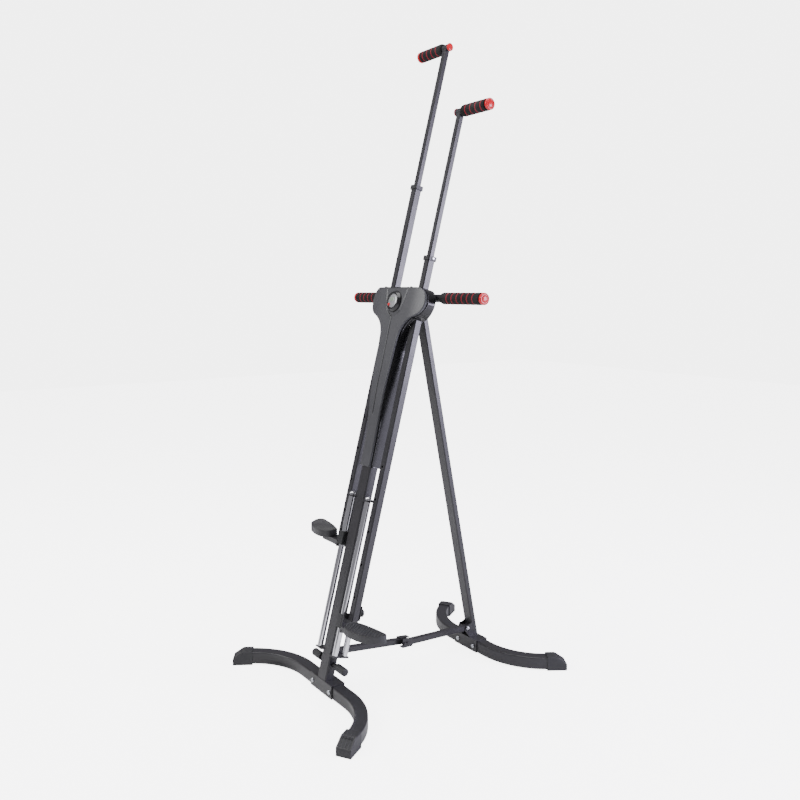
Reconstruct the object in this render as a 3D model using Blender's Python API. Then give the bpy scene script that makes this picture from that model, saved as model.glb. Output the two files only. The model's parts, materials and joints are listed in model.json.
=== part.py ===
"""Folding vertical stair climber: leaning column, two sliding arms, folding rear leg.

Frame: +Z up, X across the machine (the user's right when facing it is +X), Y from the
user towards the rear leg. The origin is on the floor, in the middle of the footprint.
Sizes along Y are counted from the front foot, which the ground empty carries forward.
Pieces on the column are placed in the leaning frame: (x, n, v), where v runs up the
column from the floor and n points out of the column's front face, towards the user.
"""

import bpy
import bmesh
from math import cos, pi, radians, sin, tan
from mathutils import Matrix, Vector

# ---------------------------------------------------------------- driving dimensions (metres)
FIT = 0.0003                    # gap left between touching pieces
MIDDLE = 0.2969                 # the front foot lies this far in front of the footprint's middle

LEAN = radians(14.66)           # column leans back from vertical
COLUMN_WIDTH = 0.048
COLUMN_FRONT = 0.019            # n of the column's front face
COLUMN_BACK = -0.011            # n of its back face
COLUMN_TOP = 1.262
COLUMN_WALL = 0.002

FOOT_SIZE = 0.040               # square foot tube
FOOT_WALL = 0.002
FOOT_BASE = 0.003               # underside of the foot tube above the floor
PLATE = 0.003                   # bent and welded steel plate

FRONT_FOOT = dict(y=0.0146, straight=0.1294, radius=0.2241, angle=radians(58.5), end=0.057, toward=-1)
REAR_FOOT = dict(y=0.5851, straight=0.0908, radius=0.2185, angle=radians(57.5), end=0.0572, toward=1)
FRONT_SADDLE_HALF = 0.064
REAR_SADDLE_HALF = 0.058
FRONT_BOLT_X = 0.050
REAR_BOLT_X = 0.040

CAP_LENGTH = 0.065              # rubber end cap, measured back from its toe
CAP_WIDTH = 0.046
CAP_FLAT = 0.032                # level part of the cap's top
CAP_TOE_HEIGHT = 0.020
CAP_POCKET = 0.040

ROD_X = 0.045
ROD_N = 0.017                   # front and rear rods stand this far each side of n = 0
ROD_RADIUS = 0.009
ROD_BOTTOM = 0.130
ROD_TOP = 0.604
ROD_PLATE = 0.004
ROD_PLATE_EDGE = 0.0557

BUMPER_V = 0.095
BUMPER_REACH = 0.094
BUMPER_RADIUS = 0.012
BUMPER_BAR_RADIUS = 0.007
BUMPER_BAR_HALF = 0.0905

ARM_X = 0.075
ARM_SIZE = 0.025                # outer arm tube, square
ARM_WALL = 0.0016
ARM_BOTTOM = 0.2467             # right arm at rest
ARM_TOP = 1.3647
ARM_OFFSET = 0.2348             # left arm stands this much higher at rest
HOLE_PITCH = 0.100
HOLE_COUNT = 5
HOLE_FIRST = 0.318
PIN_FIRST = 0.272               # pull pin, and the first of the rear holes
HOLE_RADIUS = 0.004

INNER_SIZE = 0.018              # inner arm tube that carries the handle
INNER_WALL = 0.0015
INNER_BOTTOM = 1.245
HANDLE_V = 1.821
HANDLE_RADIUS = 0.011
HANDLE_BORE = 0.009
HANDLE_IN = 0.0165
HANDLE_OUT = 0.128
GRIP_RADIUS = 0.018
GRIP_START = 0.013
GRIP_END = 0.1245
GRIP_CAP_RADIUS = 0.019

SLIDER_BOTTOM = 0.216
SLIDER_TOP = 0.258
SLIDER_IN = 0.031
SLIDER_OUT = 0.056
SLIDER_DEPTH = 0.028

PEDAL_TOP_Z = 0.2474            # right pedal's tread above the floor
PEDAL_THICK = 0.022

BAR_N = -0.0295
BAR_V = 1.2475
BAR_RADIUS = 0.012
BAR_BORE = 0.010
BAR_HALF = 0.325
BAR_GRIP_IN = 0.1425
BAR_GRIP_OUT = 0.3225

COVER_BOTTOM = 0.706
COVER_TOP = 1.265
COVER_WALL = 0.0025
COVER_DEPTH = 0.009             # front cover, from its face back to the joint with the rear cover
LIP_LOW = 0.0034                # rear cover stands this much wider than the front one at its bottom
LIP_HIGH = 0.0016               # and this much wider in the head
FACE_LOW = 0.028                # n of the front cover's face at its bottom
FACE_HIGH = 0.0415              # n of the face at the neck and the middle of the head
FACE_LOBE = 0.032               # n of the face at the outer edge of a lobe
REAR_BACK = -0.017
REAR_LOBE_BACK = -0.009
NECK_LOW = 0.024                # half width of the covers at the bottom
NECK_HIGH = 0.043               # and where the neck starts to flare
HEAD_HALF = 0.1395
ARM_SLOT = 0.0147               # half width of the openings that the arms slide through
SLOT_DEPTH = 0.0139             # and half their depth
COVER_CORNER = 0.0022           # chamfer along the front cover's edges
SPREAD = (1.0, 0.72, 0.42, 0.0, -0.42, -0.72, -1.0)     # stations across a cover, as shares of its half width

CONSOLE_X = 0.0
CONSOLE_V = 1.219
CONSOLE_RADIUS = 0.033
CONSOLE_HEIGHT = 0.012
BUTTON_RADIUS = 0.0045

PULLEY_V = 1.210
PULLEY_RADIUS = 0.040

LEG_WIDTH = 0.040
LEG_DEPTH = 0.020
LEG_WALL = 0.002
LEG_LEAN = radians(11.44)
HINGE_Y = 0.3657
HINGE_Z = 1.165

BRACE_A = (0.058, 0.117)        # (y, z) pivot behind the column
BRACE_K = (0.305, 0.0885)       # knuckle
BRACE_B = (0.556, 0.079)        # pivot on the rear leg
LINK_HEIGHT = 0.020
LINK_WIDTH = 0.016
LINK_LANE = 0.0085              # each link lies this far to one side of the middle

BLACK_STEEL = ((0.055, 0.054, 0.058, 1.0), 0.42, 0.35)
BLACK_PLASTIC = ((0.030, 0.030, 0.032, 1.0), 0.50, 0.0)
COVER_PLASTIC = ((0.105, 0.105, 0.108, 1.0), 0.48, 0.0)
RUBBER = ((0.030, 0.030, 0.031, 1.0), 0.75, 0.0)
FOAM = ((0.018, 0.018, 0.018, 1.0), 0.95, 0.0)
RED_PLASTIC = ((0.60, 0.012, 0.022, 1.0), 0.35, 0.0)
CHROME = ((0.80, 0.80, 0.82, 1.0), 0.12, 1.0)
ZINC = ((0.70, 0.70, 0.72, 1.0), 0.30, 1.0)


# ---------------------------------------------------------------- scene and object helpers
for old in list(bpy.data.objects):
    bpy.data.objects.remove(old, do_unlink=True)


def empty(name, location, tilt=0.0, parent=None):
    """An axis that pieces hang on; tilt turns it about X."""
    made = bpy.data.objects.new(name, None)
    bpy.context.scene.collection.objects.link(made)
    made.parent = parent
    made.location = location
    made.rotation_euler = (tilt, 0.0, 0.0)
    return made


ground = empty("ground_frame", (0.0, -MIDDLE, 0.0))


def finish(name, bm, finish_of, parent=ground, smooth=False, location=(0, 0, 0)):
    """Turn a bmesh into a named object with its own material."""
    bmesh.ops.recalc_face_normals(bm, faces=bm.faces)
    mesh = bpy.data.meshes.new(name)
    bm.to_mesh(mesh)
    bm.free()
    made = bpy.data.objects.new(name, mesh)
    bpy.context.scene.collection.objects.link(made)
    made.parent = parent
    made.location = location
    colour, roughness, metallic = finish_of
    material = bpy.data.materials.new(name)
    material.use_nodes = True
    shader = material.node_tree.nodes["Principled BSDF"]
    shader.inputs["Base Color"].default_value = colour
    shader.inputs["Roughness"].default_value = roughness
    shader.inputs["Metallic"].default_value = metallic
    mesh.materials.append(material)
    if smooth:
        mesh.shade_smooth()
        mesh.set_sharp_from_angle(angle=radians(35))
    return made


def boolean(target, tool, operation):
    """Cut a tool out of a piece, or weld it on; the tool itself is only a guide."""
    tool.hide_render = True
    tool.display_type = "WIRE"
    modifier = target.modifiers.new(tool.name, "BOOLEAN")
    modifier.operation = operation
    modifier.solver = "EXACT"
    modifier.object = tool


def cut(target, bm, location=(0, 0, 0)):
    tool = finish(f"cutter_{target.name}_{len(target.modifiers)}", bm, ZINC, target.parent,
                  location=location)
    boolean(target, tool, "DIFFERENCE")


def weld(target, bm):
    tool = finish(f"weld_{target.name}_{len(target.modifiers)}", bm, ZINC, target.parent)
    boolean(target, tool, "UNION")


# ---------------------------------------------------------------- shapes
def box(low, high):
    bm = bmesh.new()
    bmesh.ops.create_cube(bm, size=1.0)
    size = [b - a for a, b in zip(low, high)]
    middle = [(a + b) / 2 for a, b in zip(low, high)]
    bmesh.ops.scale(bm, vec=size, verts=bm.verts)
    bmesh.ops.translate(bm, vec=middle, verts=bm.verts)
    return bm


def rounded_box(low, high, radius, segments=2):
    bm = box(low, high)
    bmesh.ops.bevel(bm, geom=bm.edges, offset=radius, segments=segments, profile=0.5,
                    affect="EDGES")
    return bm


def prism(outline, low, high, axis):
    """Extrude a closed outline of (a, b) points from low to high along axis x, y or z."""
    place = dict(x=lambda a, b, h: (h, a, b), y=lambda a, b, h: (a, h, b),
                 z=lambda a, b, h: (a, b, h))[axis]
    bm = bmesh.new()
    rings = [[bm.verts.new(place(a, b, h)) for a, b in outline] for h in (low, high)]
    count = len(outline)
    for i in range(count):
        j = (i + 1) % count
        bm.faces.new((rings[0][i], rings[0][j], rings[1][j], rings[1][i]))
    bm.faces.new(rings[0])
    bm.faces.new(rings[1])
    return bm


def stack(rings, closed=False):
    """Skin a list of equal rings of points; open stacks get end faces, closed ones join up."""
    bm = bmesh.new()
    made = [[bm.verts.new(p) for p in ring] for ring in rings]
    count = len(rings[0])
    pairs = list(zip(made, made[1:]))
    if closed:
        pairs.append((made[-1], made[0]))
    for lower, upper in pairs:
        for i in range(count):
            j = (i + 1) % count
            bm.faces.new((lower[i], lower[j], upper[j], upper[i]))
    if not closed:
        bm.faces.new(made[0])
        bm.faces.new(made[-1])
    return bm


def rounded_rect(half_a, half_b, radius, steps=1):
    """Points round a rectangle whose corners are quarter circles."""
    points = []
    for quarter, (sa, sb) in enumerate(((1, 1), (-1, 1), (-1, -1), (1, -1))):
        for step in range(steps + 1):
            turn = (quarter + step / steps) * pi / 2
            points.append((sa * (half_a - radius) + radius * cos(turn),
                           sb * (half_b - radius) + radius * sin(turn)))
    return points


def straight_tube(half_x, half_y, radius, wall, low, high, middle=(0.0, 0.0)):
    """A hollow rectangular tube standing along Z, open at both ends."""
    rings = []
    for inset, heights in ((0.0, (low, high)), (wall, (high, low))):
        outline = rounded_rect(half_x - inset, half_y - inset, max(radius - inset, 0.0004))
        for height in heights:
            rings.append([(a + middle[0], b + middle[1], height) for a, b in outline])
    return stack(rings, closed=True)


def turned(profile, axis, segments=24, middle=(0.0, 0.0, 0.0)):
    """Revolve (radius, along) points about an axis through middle, along x, y or z."""
    place = dict(x=lambda r, t, h: (h, r * cos(t), r * sin(t)),
                 y=lambda r, t, h: (r * cos(t), h, r * sin(t)),
                 z=lambda r, t, h: (r * cos(t), r * sin(t), h))[axis]
    bm = bmesh.new()
    rows = []
    for radius, along in profile:
        turns = [0.0] if radius == 0.0 else [2 * pi * i / segments for i in range(segments)]
        rows.append([bm.verts.new(Vector(place(radius, t, along)) + Vector(middle))
                     for t in turns])
    hollow = profile[0][0] > 0.0 and profile[-1][0] > 0.0
    pairs = list(zip(rows, rows[1:])) + ([(rows[-1], rows[0])] if hollow else [])
    for lower, upper in pairs:
        for i in range(segments):
            j = (i + 1) % segments
            corners = [lower[i % len(lower)], lower[j % len(lower)],
                       upper[j % len(upper)], upper[i % len(upper)]]
            bm.faces.new(list(dict.fromkeys(corners)))
    return bm


def rod(radius, low, high, axis, segments=24, middle=(0.0, 0.0, 0.0)):
    return turned(((0.0, low), (radius, low), (radius, high), (0.0, high)), axis, segments, middle)


def pipe(radius, bore, low, high, axis, segments=24, middle=(0.0, 0.0, 0.0)):
    return turned(((radius, low), (radius, high), (bore, high), (bore, low)), axis, segments, middle)


def bolt(shank, head, low, high, thick, axis, middle):
    """Dome-headed bolt with its nut: low and high are the faces that it clamps."""
    return turned(((0.0, low - thick), (head * 0.6, low - thick), (head, low - thick * 0.45),
                   (head, low), (shank, low), (shank, high), (head, high),
                   (head, high + thick), (0.0, high + thick)), axis, 12, middle)


# ---------------------------------------------------------------- curved feet and their caps
def foot_stations(foot, trim):
    """Middle line of a foot as (x, y, heading): level middle, an arc, then a straight end."""
    steps = 6
    half = [(foot["straight"] * 0.97, 0.0, 0.0)]
    for i in range(1, steps + 1):
        turn = foot["angle"] * i / steps
        half.append((foot["straight"] + foot["radius"] * sin(turn),
                     foot["radius"] * (1 - cos(turn)), turn))
    x, y, turn = half[-1]
    run = foot["end"] - trim
    half.append((x + run * cos(turn), y + run * sin(turn), turn))
    side = [(x, foot["y"] + foot["toward"] * y, foot["toward"] * turn) for x, y, turn in half]
    return [(-x, y, -turn) for x, y, turn in reversed(side)] + side


def foot_tube(name, foot):
    rings = []
    half = FOOT_SIZE / 2
    stations = foot_stations(foot, trim=0.026)
    for inset, order in ((0.0, stations), (FOOT_WALL, stations[::-1])):
        outline = rounded_rect(half - inset, half - inset, 0.004 - inset * 0.8)
        for x, y, turn in order:
            across = Vector((-sin(turn), cos(turn), 0.0))
            centre = Vector((x, y, FOOT_BASE + half))
            rings.append([centre + across * a + Vector((0, 0, b)) for a, b in outline])
    return finish(name, stack(rings, closed=True), BLACK_STEEL)


def foot_cap(name, foot, side):
    """Rubber shoe over the tube end: level top, sloped toe, pocket for the tube."""
    x, y, turn = foot_stations(foot, trim=0.0)[-1]
    high = FOOT_BASE * 2 + FOOT_SIZE
    outline = [(0.0, 0.0), (CAP_LENGTH, 0.0), (CAP_LENGTH, CAP_TOE_HEIGHT),
               (CAP_LENGTH - 0.004, CAP_TOE_HEIGHT + 0.006), (CAP_FLAT, high), (0.0, high)]
    place = (Matrix.Translation((side * x, y, 0.0))
             @ Matrix.Rotation(turn if side > 0 else pi - turn, 4, "Z")
             @ Matrix.Translation((-CAP_LENGTH, 0.0, 0.0)))
    shoe = prism(outline, -CAP_WIDTH / 2, CAP_WIDTH / 2, "y")
    pocket_half = FOOT_SIZE / 2 + 0.0012
    pocket = box((-0.01, -pocket_half, FOOT_BASE - 0.0004),
                 (CAP_POCKET, pocket_half, FOOT_BASE + FOOT_SIZE + 0.0006))
    for bm in (shoe, pocket):
        bmesh.ops.transform(bm, matrix=place, verts=bm.verts)
    cut(finish(name, shoe, RUBBER), pocket)


def saddle(foot, half_length):
    """Channel over the foot tube that the upright is welded to."""
    inner = FOOT_SIZE / 2 + FIT
    outer = inner + PLATE
    low = FOOT_BASE + 0.001
    top = FOOT_BASE + FOOT_SIZE + FIT
    outline = [(-outer, low), (-inner, low), (-inner, top), (inner, top), (inner, low),
               (outer, low), (outer, top + PLATE), (-outer, top + PLATE)]
    return prism([(a + foot["y"], b) for a, b in outline], -half_length, half_length, "x")


lean = empty("lean_frame", (0, 0, 0), -LEAN, ground)


def at(x, n, v):
    """Point of the leaning frame in its parent empty's own axes."""
    return (x, -n, v)


def world_to_lean(y, z):
    return z * sin(LEAN) - y * cos(LEAN), y * sin(LEAN) + z * cos(LEAN)


# ---------------------------------------------------------------- column weldment
SADDLE_TOP = FOOT_BASE + FOOT_SIZE + FIT + PLATE
column_mid = (COLUMN_FRONT + COLUMN_BACK) / 2
column_half = (COLUMN_FRONT - COLUMN_BACK) / 2


def column_ring(inset, foot_height):
    """Ring round the column: at its square top, or cut level at a height above the floor."""
    ring = []
    for a, b in rounded_rect(COLUMN_WIDTH / 2 - inset, column_half - inset, 0.003 - inset * 0.8):
        n = column_mid - b
        v = COLUMN_TOP if foot_height is None else (foot_height - n * sin(LEAN)) / cos(LEAN)
        ring.append(at(a, n, v))
    return ring


column = finish("column_post", stack([
    column_ring(0.0, SADDLE_TOP - 0.0015), column_ring(0.0, None),
    column_ring(COLUMN_WALL, None), column_ring(COLUMN_WALL, SADDLE_TOP - 0.0012)], closed=True),
    BLACK_STEEL, lean)

front_saddle = saddle(FRONT_FOOT, FRONT_SADDLE_HALF)
bmesh.ops.transform(front_saddle, matrix=Matrix.Rotation(LEAN, 4, "X"), verts=front_saddle.verts)
weld(column, front_saddle)

for side in (-1, 1):
    for low in (ROD_BOTTOM - FIT - ROD_PLATE, ROD_TOP + FIT):
        ends = sorted((side * (COLUMN_WIDTH / 2 - 0.001), side * ROD_PLATE_EDGE))
        weld(column, box((ends[0], -0.027, low), (ends[1], 0.027, low + ROD_PLATE)))

cut(column, box((-0.0255, -COLUMN_BACK, ROD_BOTTOM - 0.006), (0.0255, 0.030, ROD_BOTTOM + 0.001)))

brace_n, brace_v = world_to_lean(*BRACE_A)
for side in (-1, 1):
    lug = [(-COLUMN_BACK - 0.001, brace_v - 0.014), (-brace_n + 0.004, brace_v - 0.011),
           (-brace_n + 0.010, brace_v), (-brace_n + 0.004, brace_v + 0.011),
           (-COLUMN_BACK - 0.001, brace_v + 0.022)]
    ends = sorted((side * 0.0172, side * 0.0202))
    weld(column, prism(lug, ends[0], ends[1], "x"))
cut(column, rod(0.0044, -0.03, 0.03, "x", 12, at(0, brace_n, brace_v)))
cut(column, rod(BUMPER_BAR_RADIUS + 0.0005, -0.04, 0.04, "x", 20, at(0, 0, BUMPER_V)))
for side in (-1, 1):
    for face in (-1, 1):
        cut(column, rod(0.0055, ROD_TOP - 0.004, ROD_TOP + 0.009, "z", 12,
                        at(side * ROD_X, face * ROD_N, 0)))

front_foot = foot_tube("front_foot_tube", FRONT_FOOT)
for side, word in ((-1, "left"), (1, "right")):
    foot_cap(f"front_foot_cap_{word}", FRONT_FOOT, side)

face = FOOT_SIZE / 2 + FIT + PLATE
for side, word in ((-1, "left"), (1, "right")):
    place = (side * FRONT_BOLT_X, FRONT_FOOT["y"], FOOT_BASE + FOOT_SIZE / 2)
    finish(f"front_foot_bolt_{word}", bolt(0.004, 0.0075, -face - FIT, face + FIT, 0.005, "y", place),
           ZINC, smooth=True)
    cut(front_foot, rod(0.0044, -0.03, 0.03, "y", 12, place))
    hole = rod(0.0044, -0.04, 0.04, "y", 12, place)
    bmesh.ops.transform(hole, matrix=Matrix.Rotation(LEAN, 4, "X"), verts=hole.verts)
    cut(column, hole)


# ---------------------------------------------------------------- guide rods and bumpers
for side, word in ((-1, "left"), (1, "right")):
    for face_sign, place_word in ((1, "front"), (-1, "rear")):
        top = ROD_TOP + FIT + ROD_PLATE
        profile = ((0.0, ROD_BOTTOM), (ROD_RADIUS, ROD_BOTTOM), (ROD_RADIUS, ROD_TOP), (0.005, ROD_TOP),
                   (0.005, top + FIT), (0.0098, top + FIT), (0.0098, top + 0.0045),
                   (0.0068, top + 0.0095), (0.0, top + 0.0115))
        finish(f"{word}_{place_word}_rod",
               turned(profile, "z", 18, at(side * ROD_X, face_sign * ROD_N, 0)), CHROME, lean, True)

finish("bumper_bar", rod(BUMPER_BAR_RADIUS, -BUMPER_BAR_HALF, BUMPER_BAR_HALF, "x", 20,
                         at(0, 0, BUMPER_V)), BLACK_STEEL, lean, True)
for side, word in ((-1, "left"), (1, "right")):
    bore = BUMPER_BAR_RADIUS + FIT
    blind = BUMPER_BAR_HALF + 0.0004
    profile = [(0.0, blind), (bore, blind), (bore, 0.046), (BUMPER_RADIUS - 0.0015, 0.046),
               (BUMPER_RADIUS, 0.0475), (BUMPER_RADIUS, BUMPER_REACH - 0.003),
               (BUMPER_RADIUS - 0.003, BUMPER_REACH), (0.0, BUMPER_REACH)]
    sleeve = turned([(r, side * x) for r, x in profile], "x", 20, at(0, 0, BUMPER_V))
    finish(f"bumper_{word}", sleeve, RUBBER, lean, True)


# ---------------------------------------------------------------- covers, console, pulley
def ease(t):
    t = min(max(t, 0.0), 1.0)
    return t * t * (3 - 2 * t)


def mix(a, b, t):
    return a + (b - a) * t


def cover_levels():
    """Heights and half widths up the covers: tapered neck, concave flare, round-ended head."""
    levels = [(COVER_BOTTOM, NECK_LOW), (COVER_BOTTOM + 0.003, NECK_LOW + 0.0008), (0.760, 0.0252)]
    for i in range(1, 5):
        t = i / 4
        levels.append((mix(0.760, 1.075, t), mix(0.0252, NECK_HIGH, ease(t * 0.9) / ease(0.9))))
    start, corner, end = Vector((1.100, NECK_HIGH + 0.003)), Vector((1.160, 0.048)), Vector((1.178, 0.106))
    for i in range(0, 8):
        t = i / 7
        point = start * (1 - t) ** 2 + corner * 2 * t * (1 - t) + end * t * t
        levels.append((point.x, point.y))
    lobe_v, lobe_x = 1.222, HEAD_HALF - 0.043
    for i in range(1, 12):
        turn = mix(radians(-80), radians(80), i / 12)
        levels.append((lobe_v + 0.0435 * sin(turn), lobe_x + 0.043 * cos(turn)))
    return levels + [(COVER_TOP, 0.103)]


def face_at(x, v):
    """n of the front cover's face: it comes forward up the neck and falls back at the lobes."""
    rise = mix(FACE_LOW, FACE_HIGH, ease((v - 0.73) / 0.27))
    fall = max(abs(x) - 0.075, 0.0) / (HEAD_HALF - 0.075)
    return rise + (FACE_LOBE - FACE_HIGH) * fall * fall


def back_at(x):
    """n of the rear cover's back: flat in the middle, coming forward at the lobes."""
    return mix(REAR_BACK, REAR_LOBE_BACK, ease((abs(x) - 0.095) / (HEAD_HALF - 0.095)))


# front cover: a tray with a crowned face, open at the back
levels = cover_levels()
rings = []
for index, (v, half) in enumerate(levels):
    closed_end = index in (0, len(levels) - 1)
    wall = COVER_DEPTH - 0.0004 if closed_end else COVER_WALL
    rim = face_at(half, v) - COVER_DEPTH
    outer = [(half, rim), (half, face_at(half, v) - COVER_CORNER)]
    outer += [(s * (half - COVER_CORNER), face_at(s * (half - COVER_CORNER), v)) for s in SPREAD]
    outer += [(-half, face_at(half, v) - COVER_CORNER), (-half, rim)]
    inner_half = half - COVER_WALL
    inner = [(-inner_half, rim)]
    inner += [(-s * inner_half, face_at(s * inner_half, v) - wall) for s in SPREAD]
    inner += [(inner_half, rim)]
    rings.append([at(x, n, v) for x, n in outer + inner])
front_cover = finish("front_cover", stack(rings), COVER_PLASTIC, lean)

# rear cover: a deeper tray behind it, open at the front, round the column and the arms
rings = []
for index, (v, half) in enumerate(levels):
    closed_end = index in (0, len(levels) - 1)
    if closed_end:
        v += -0.003 if index == 0 else 0.0012
    wide = half + mix(LIP_LOW, LIP_HIGH, ease((v - 0.76) / 0.2))
    rim = face_at(half, v) - COVER_DEPTH - 0.0012
    back = back_at(wide)
    outer = [(wide, rim), (wide, back + 0.004)]
    outer += [(s * (wide - 0.003), back_at(s * wide)) for s in SPREAD]
    outer += [(-wide, back + 0.004), (-wide, rim)]
    inner_half = wide - COVER_WALL
    inner = [(-inner_half, rim)]
    for s in SPREAD:
        depth = rim - 0.0004 if closed_end else back_at(s * wide) + COVER_WALL
        inner.append((-s * (inner_half - 0.0006), depth))
    inner += [(inner_half, rim)]
    rings.append([at(x, n, v) for x, n in outer + inner])
rear_cover = finish("rear_cover", stack(rings), BLACK_PLASTIC, lean)

slot_x = COLUMN_WIDTH / 2 + 0.0006
cut(rear_cover, box((-slot_x, -0.030, COVER_BOTTOM - 0.016),
                    (slot_x, -COLUMN_BACK + 0.0012, COVER_BOTTOM + 0.016)))
for side in (-1, 1):
    ends = sorted((side * (ARM_X - ARM_SLOT), side * (ARM_X + ARM_SLOT)))
    cut(rear_cover, box((ends[0], -SLOT_DEPTH, 1.135), (ends[1], SLOT_DEPTH, 1.29)))
cut(rear_cover, box((-0.0245, -REAR_BACK - 0.006, 1.155), (0.0245, -REAR_BACK + 0.003, 1.2635)))

console_base = FACE_HIGH + FIT
console_top = console_base + CONSOLE_HEIGHT
console = finish("console", turned((
    (0.0, -console_base), (CONSOLE_RADIUS, -console_base), (CONSOLE_RADIUS, -console_base - 0.003),
    (0.027, -console_top), (0.0225, -console_top), (0.0215, -console_top + 0.0012),
    (0.0, -console_top + 0.0012)), "y", 28, (CONSOLE_X, 0.0, CONSOLE_V)), BLACK_PLASTIC, lean, True)
BUTTON_X = CONSOLE_X - 0.0125
BUTTON_V = CONSOLE_V - 0.0115
cut(console, rod(BUTTON_RADIUS + 0.0004, -console_top - 0.002, -console_top + 0.0075, "y", 20,
                 (BUTTON_X, 0.0, BUTTON_V)))
finish("console_button", turned((
    (0.0, 0.0045), (BUTTON_RADIUS, 0.0045), (BUTTON_RADIUS, -0.0006), (BUTTON_RADIUS - 0.001, -0.0016),
    (0.0, -0.0020)), "y", 20), RED_PLASTIC, lean, True, at(BUTTON_X, console_top, BUTTON_V))

finish("pulley_axle", turned((
    (0.0, -COLUMN_FRONT - FIT), (0.0075, -COLUMN_FRONT - FIT), (0.0075, -0.0208), (0.004, -0.0208),
    (0.004, -0.0284), (0.0065, -0.0284), (0.0065, -0.0300), (0.0, -0.0300)), "y", 16,
    (0.0, 0.0, PULLEY_V)), ZINC, lean, True)
finish("rope_pulley", turned((
    (0.0044, -0.0213), (PULLEY_RADIUS, -0.0213), (PULLEY_RADIUS, -0.0226), (PULLEY_RADIUS - 0.004, -0.0246),
    (PULLEY_RADIUS, -0.0266), (PULLEY_RADIUS, -0.0279), (0.0044, -0.0279)), "y", 24),
    BLACK_PLASTIC, lean, True, (0.0, 0.0, PULLEY_V))


# ---------------------------------------------------------------- fixed handlebar
finish("fixed_handlebar", pipe(BAR_RADIUS, BAR_BORE, -BAR_HALF, BAR_HALF, "x", 20, at(0, BAR_N, BAR_V)),
       BLACK_STEEL, lean, True)


def foam_grip(name, start, end, bore, side, parent, place):
    """Foam sleeve with rounded ends."""
    reach = GRIP_RADIUS
    profile = [(bore, start), (reach - 0.004, start), (reach, start + 0.010), (reach, end - 0.003),
               (reach - 0.003, end), (bore, end)]
    finish(name, turned([(r, side * x) for r, x in profile], "x", 18, place), FOAM, parent, True)


def end_cap(name, bore, start, side, parent, place, radius):
    """Domed plastic plug: a disc outside the tube and a stub inside it."""
    stub = bore - 0.0004
    profile = [(0.0, start - 0.012), (stub, start - 0.012), (stub, start + FIT),
               (radius - 0.001, start + FIT), (radius, start + 0.002), (radius, start + 0.0065),
               (radius - 0.0035, start + 0.0095), (0.0, start + 0.0105)]
    finish(name, turned([(r, side * x) for r, x in profile], "x", 18, place), RED_PLASTIC, parent, True)


for side, word in ((-1, "left"), (1, "right")):
    place = at(0, BAR_N, BAR_V)
    foam_grip(f"bar_grip_{word}", BAR_GRIP_IN, BAR_GRIP_OUT, BAR_RADIUS + FIT * 2, side, lean, place)
    end_cap(f"bar_cap_{word}", BAR_BORE, BAR_HALF, side, lean, place, GRIP_CAP_RADIUS)


# ---------------------------------------------------------------- sliding arms
PEDAL_SHAPE = ((0.096, -0.044), (0.120, -0.062), (0.152, -0.062), (0.190, -0.054), (0.216, -0.040),
               (0.237, -0.012), (0.241, 0.006), (0.230, 0.016), (0.190, 0.012), (0.140, 0.003),
               (0.096, -0.010))


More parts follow.
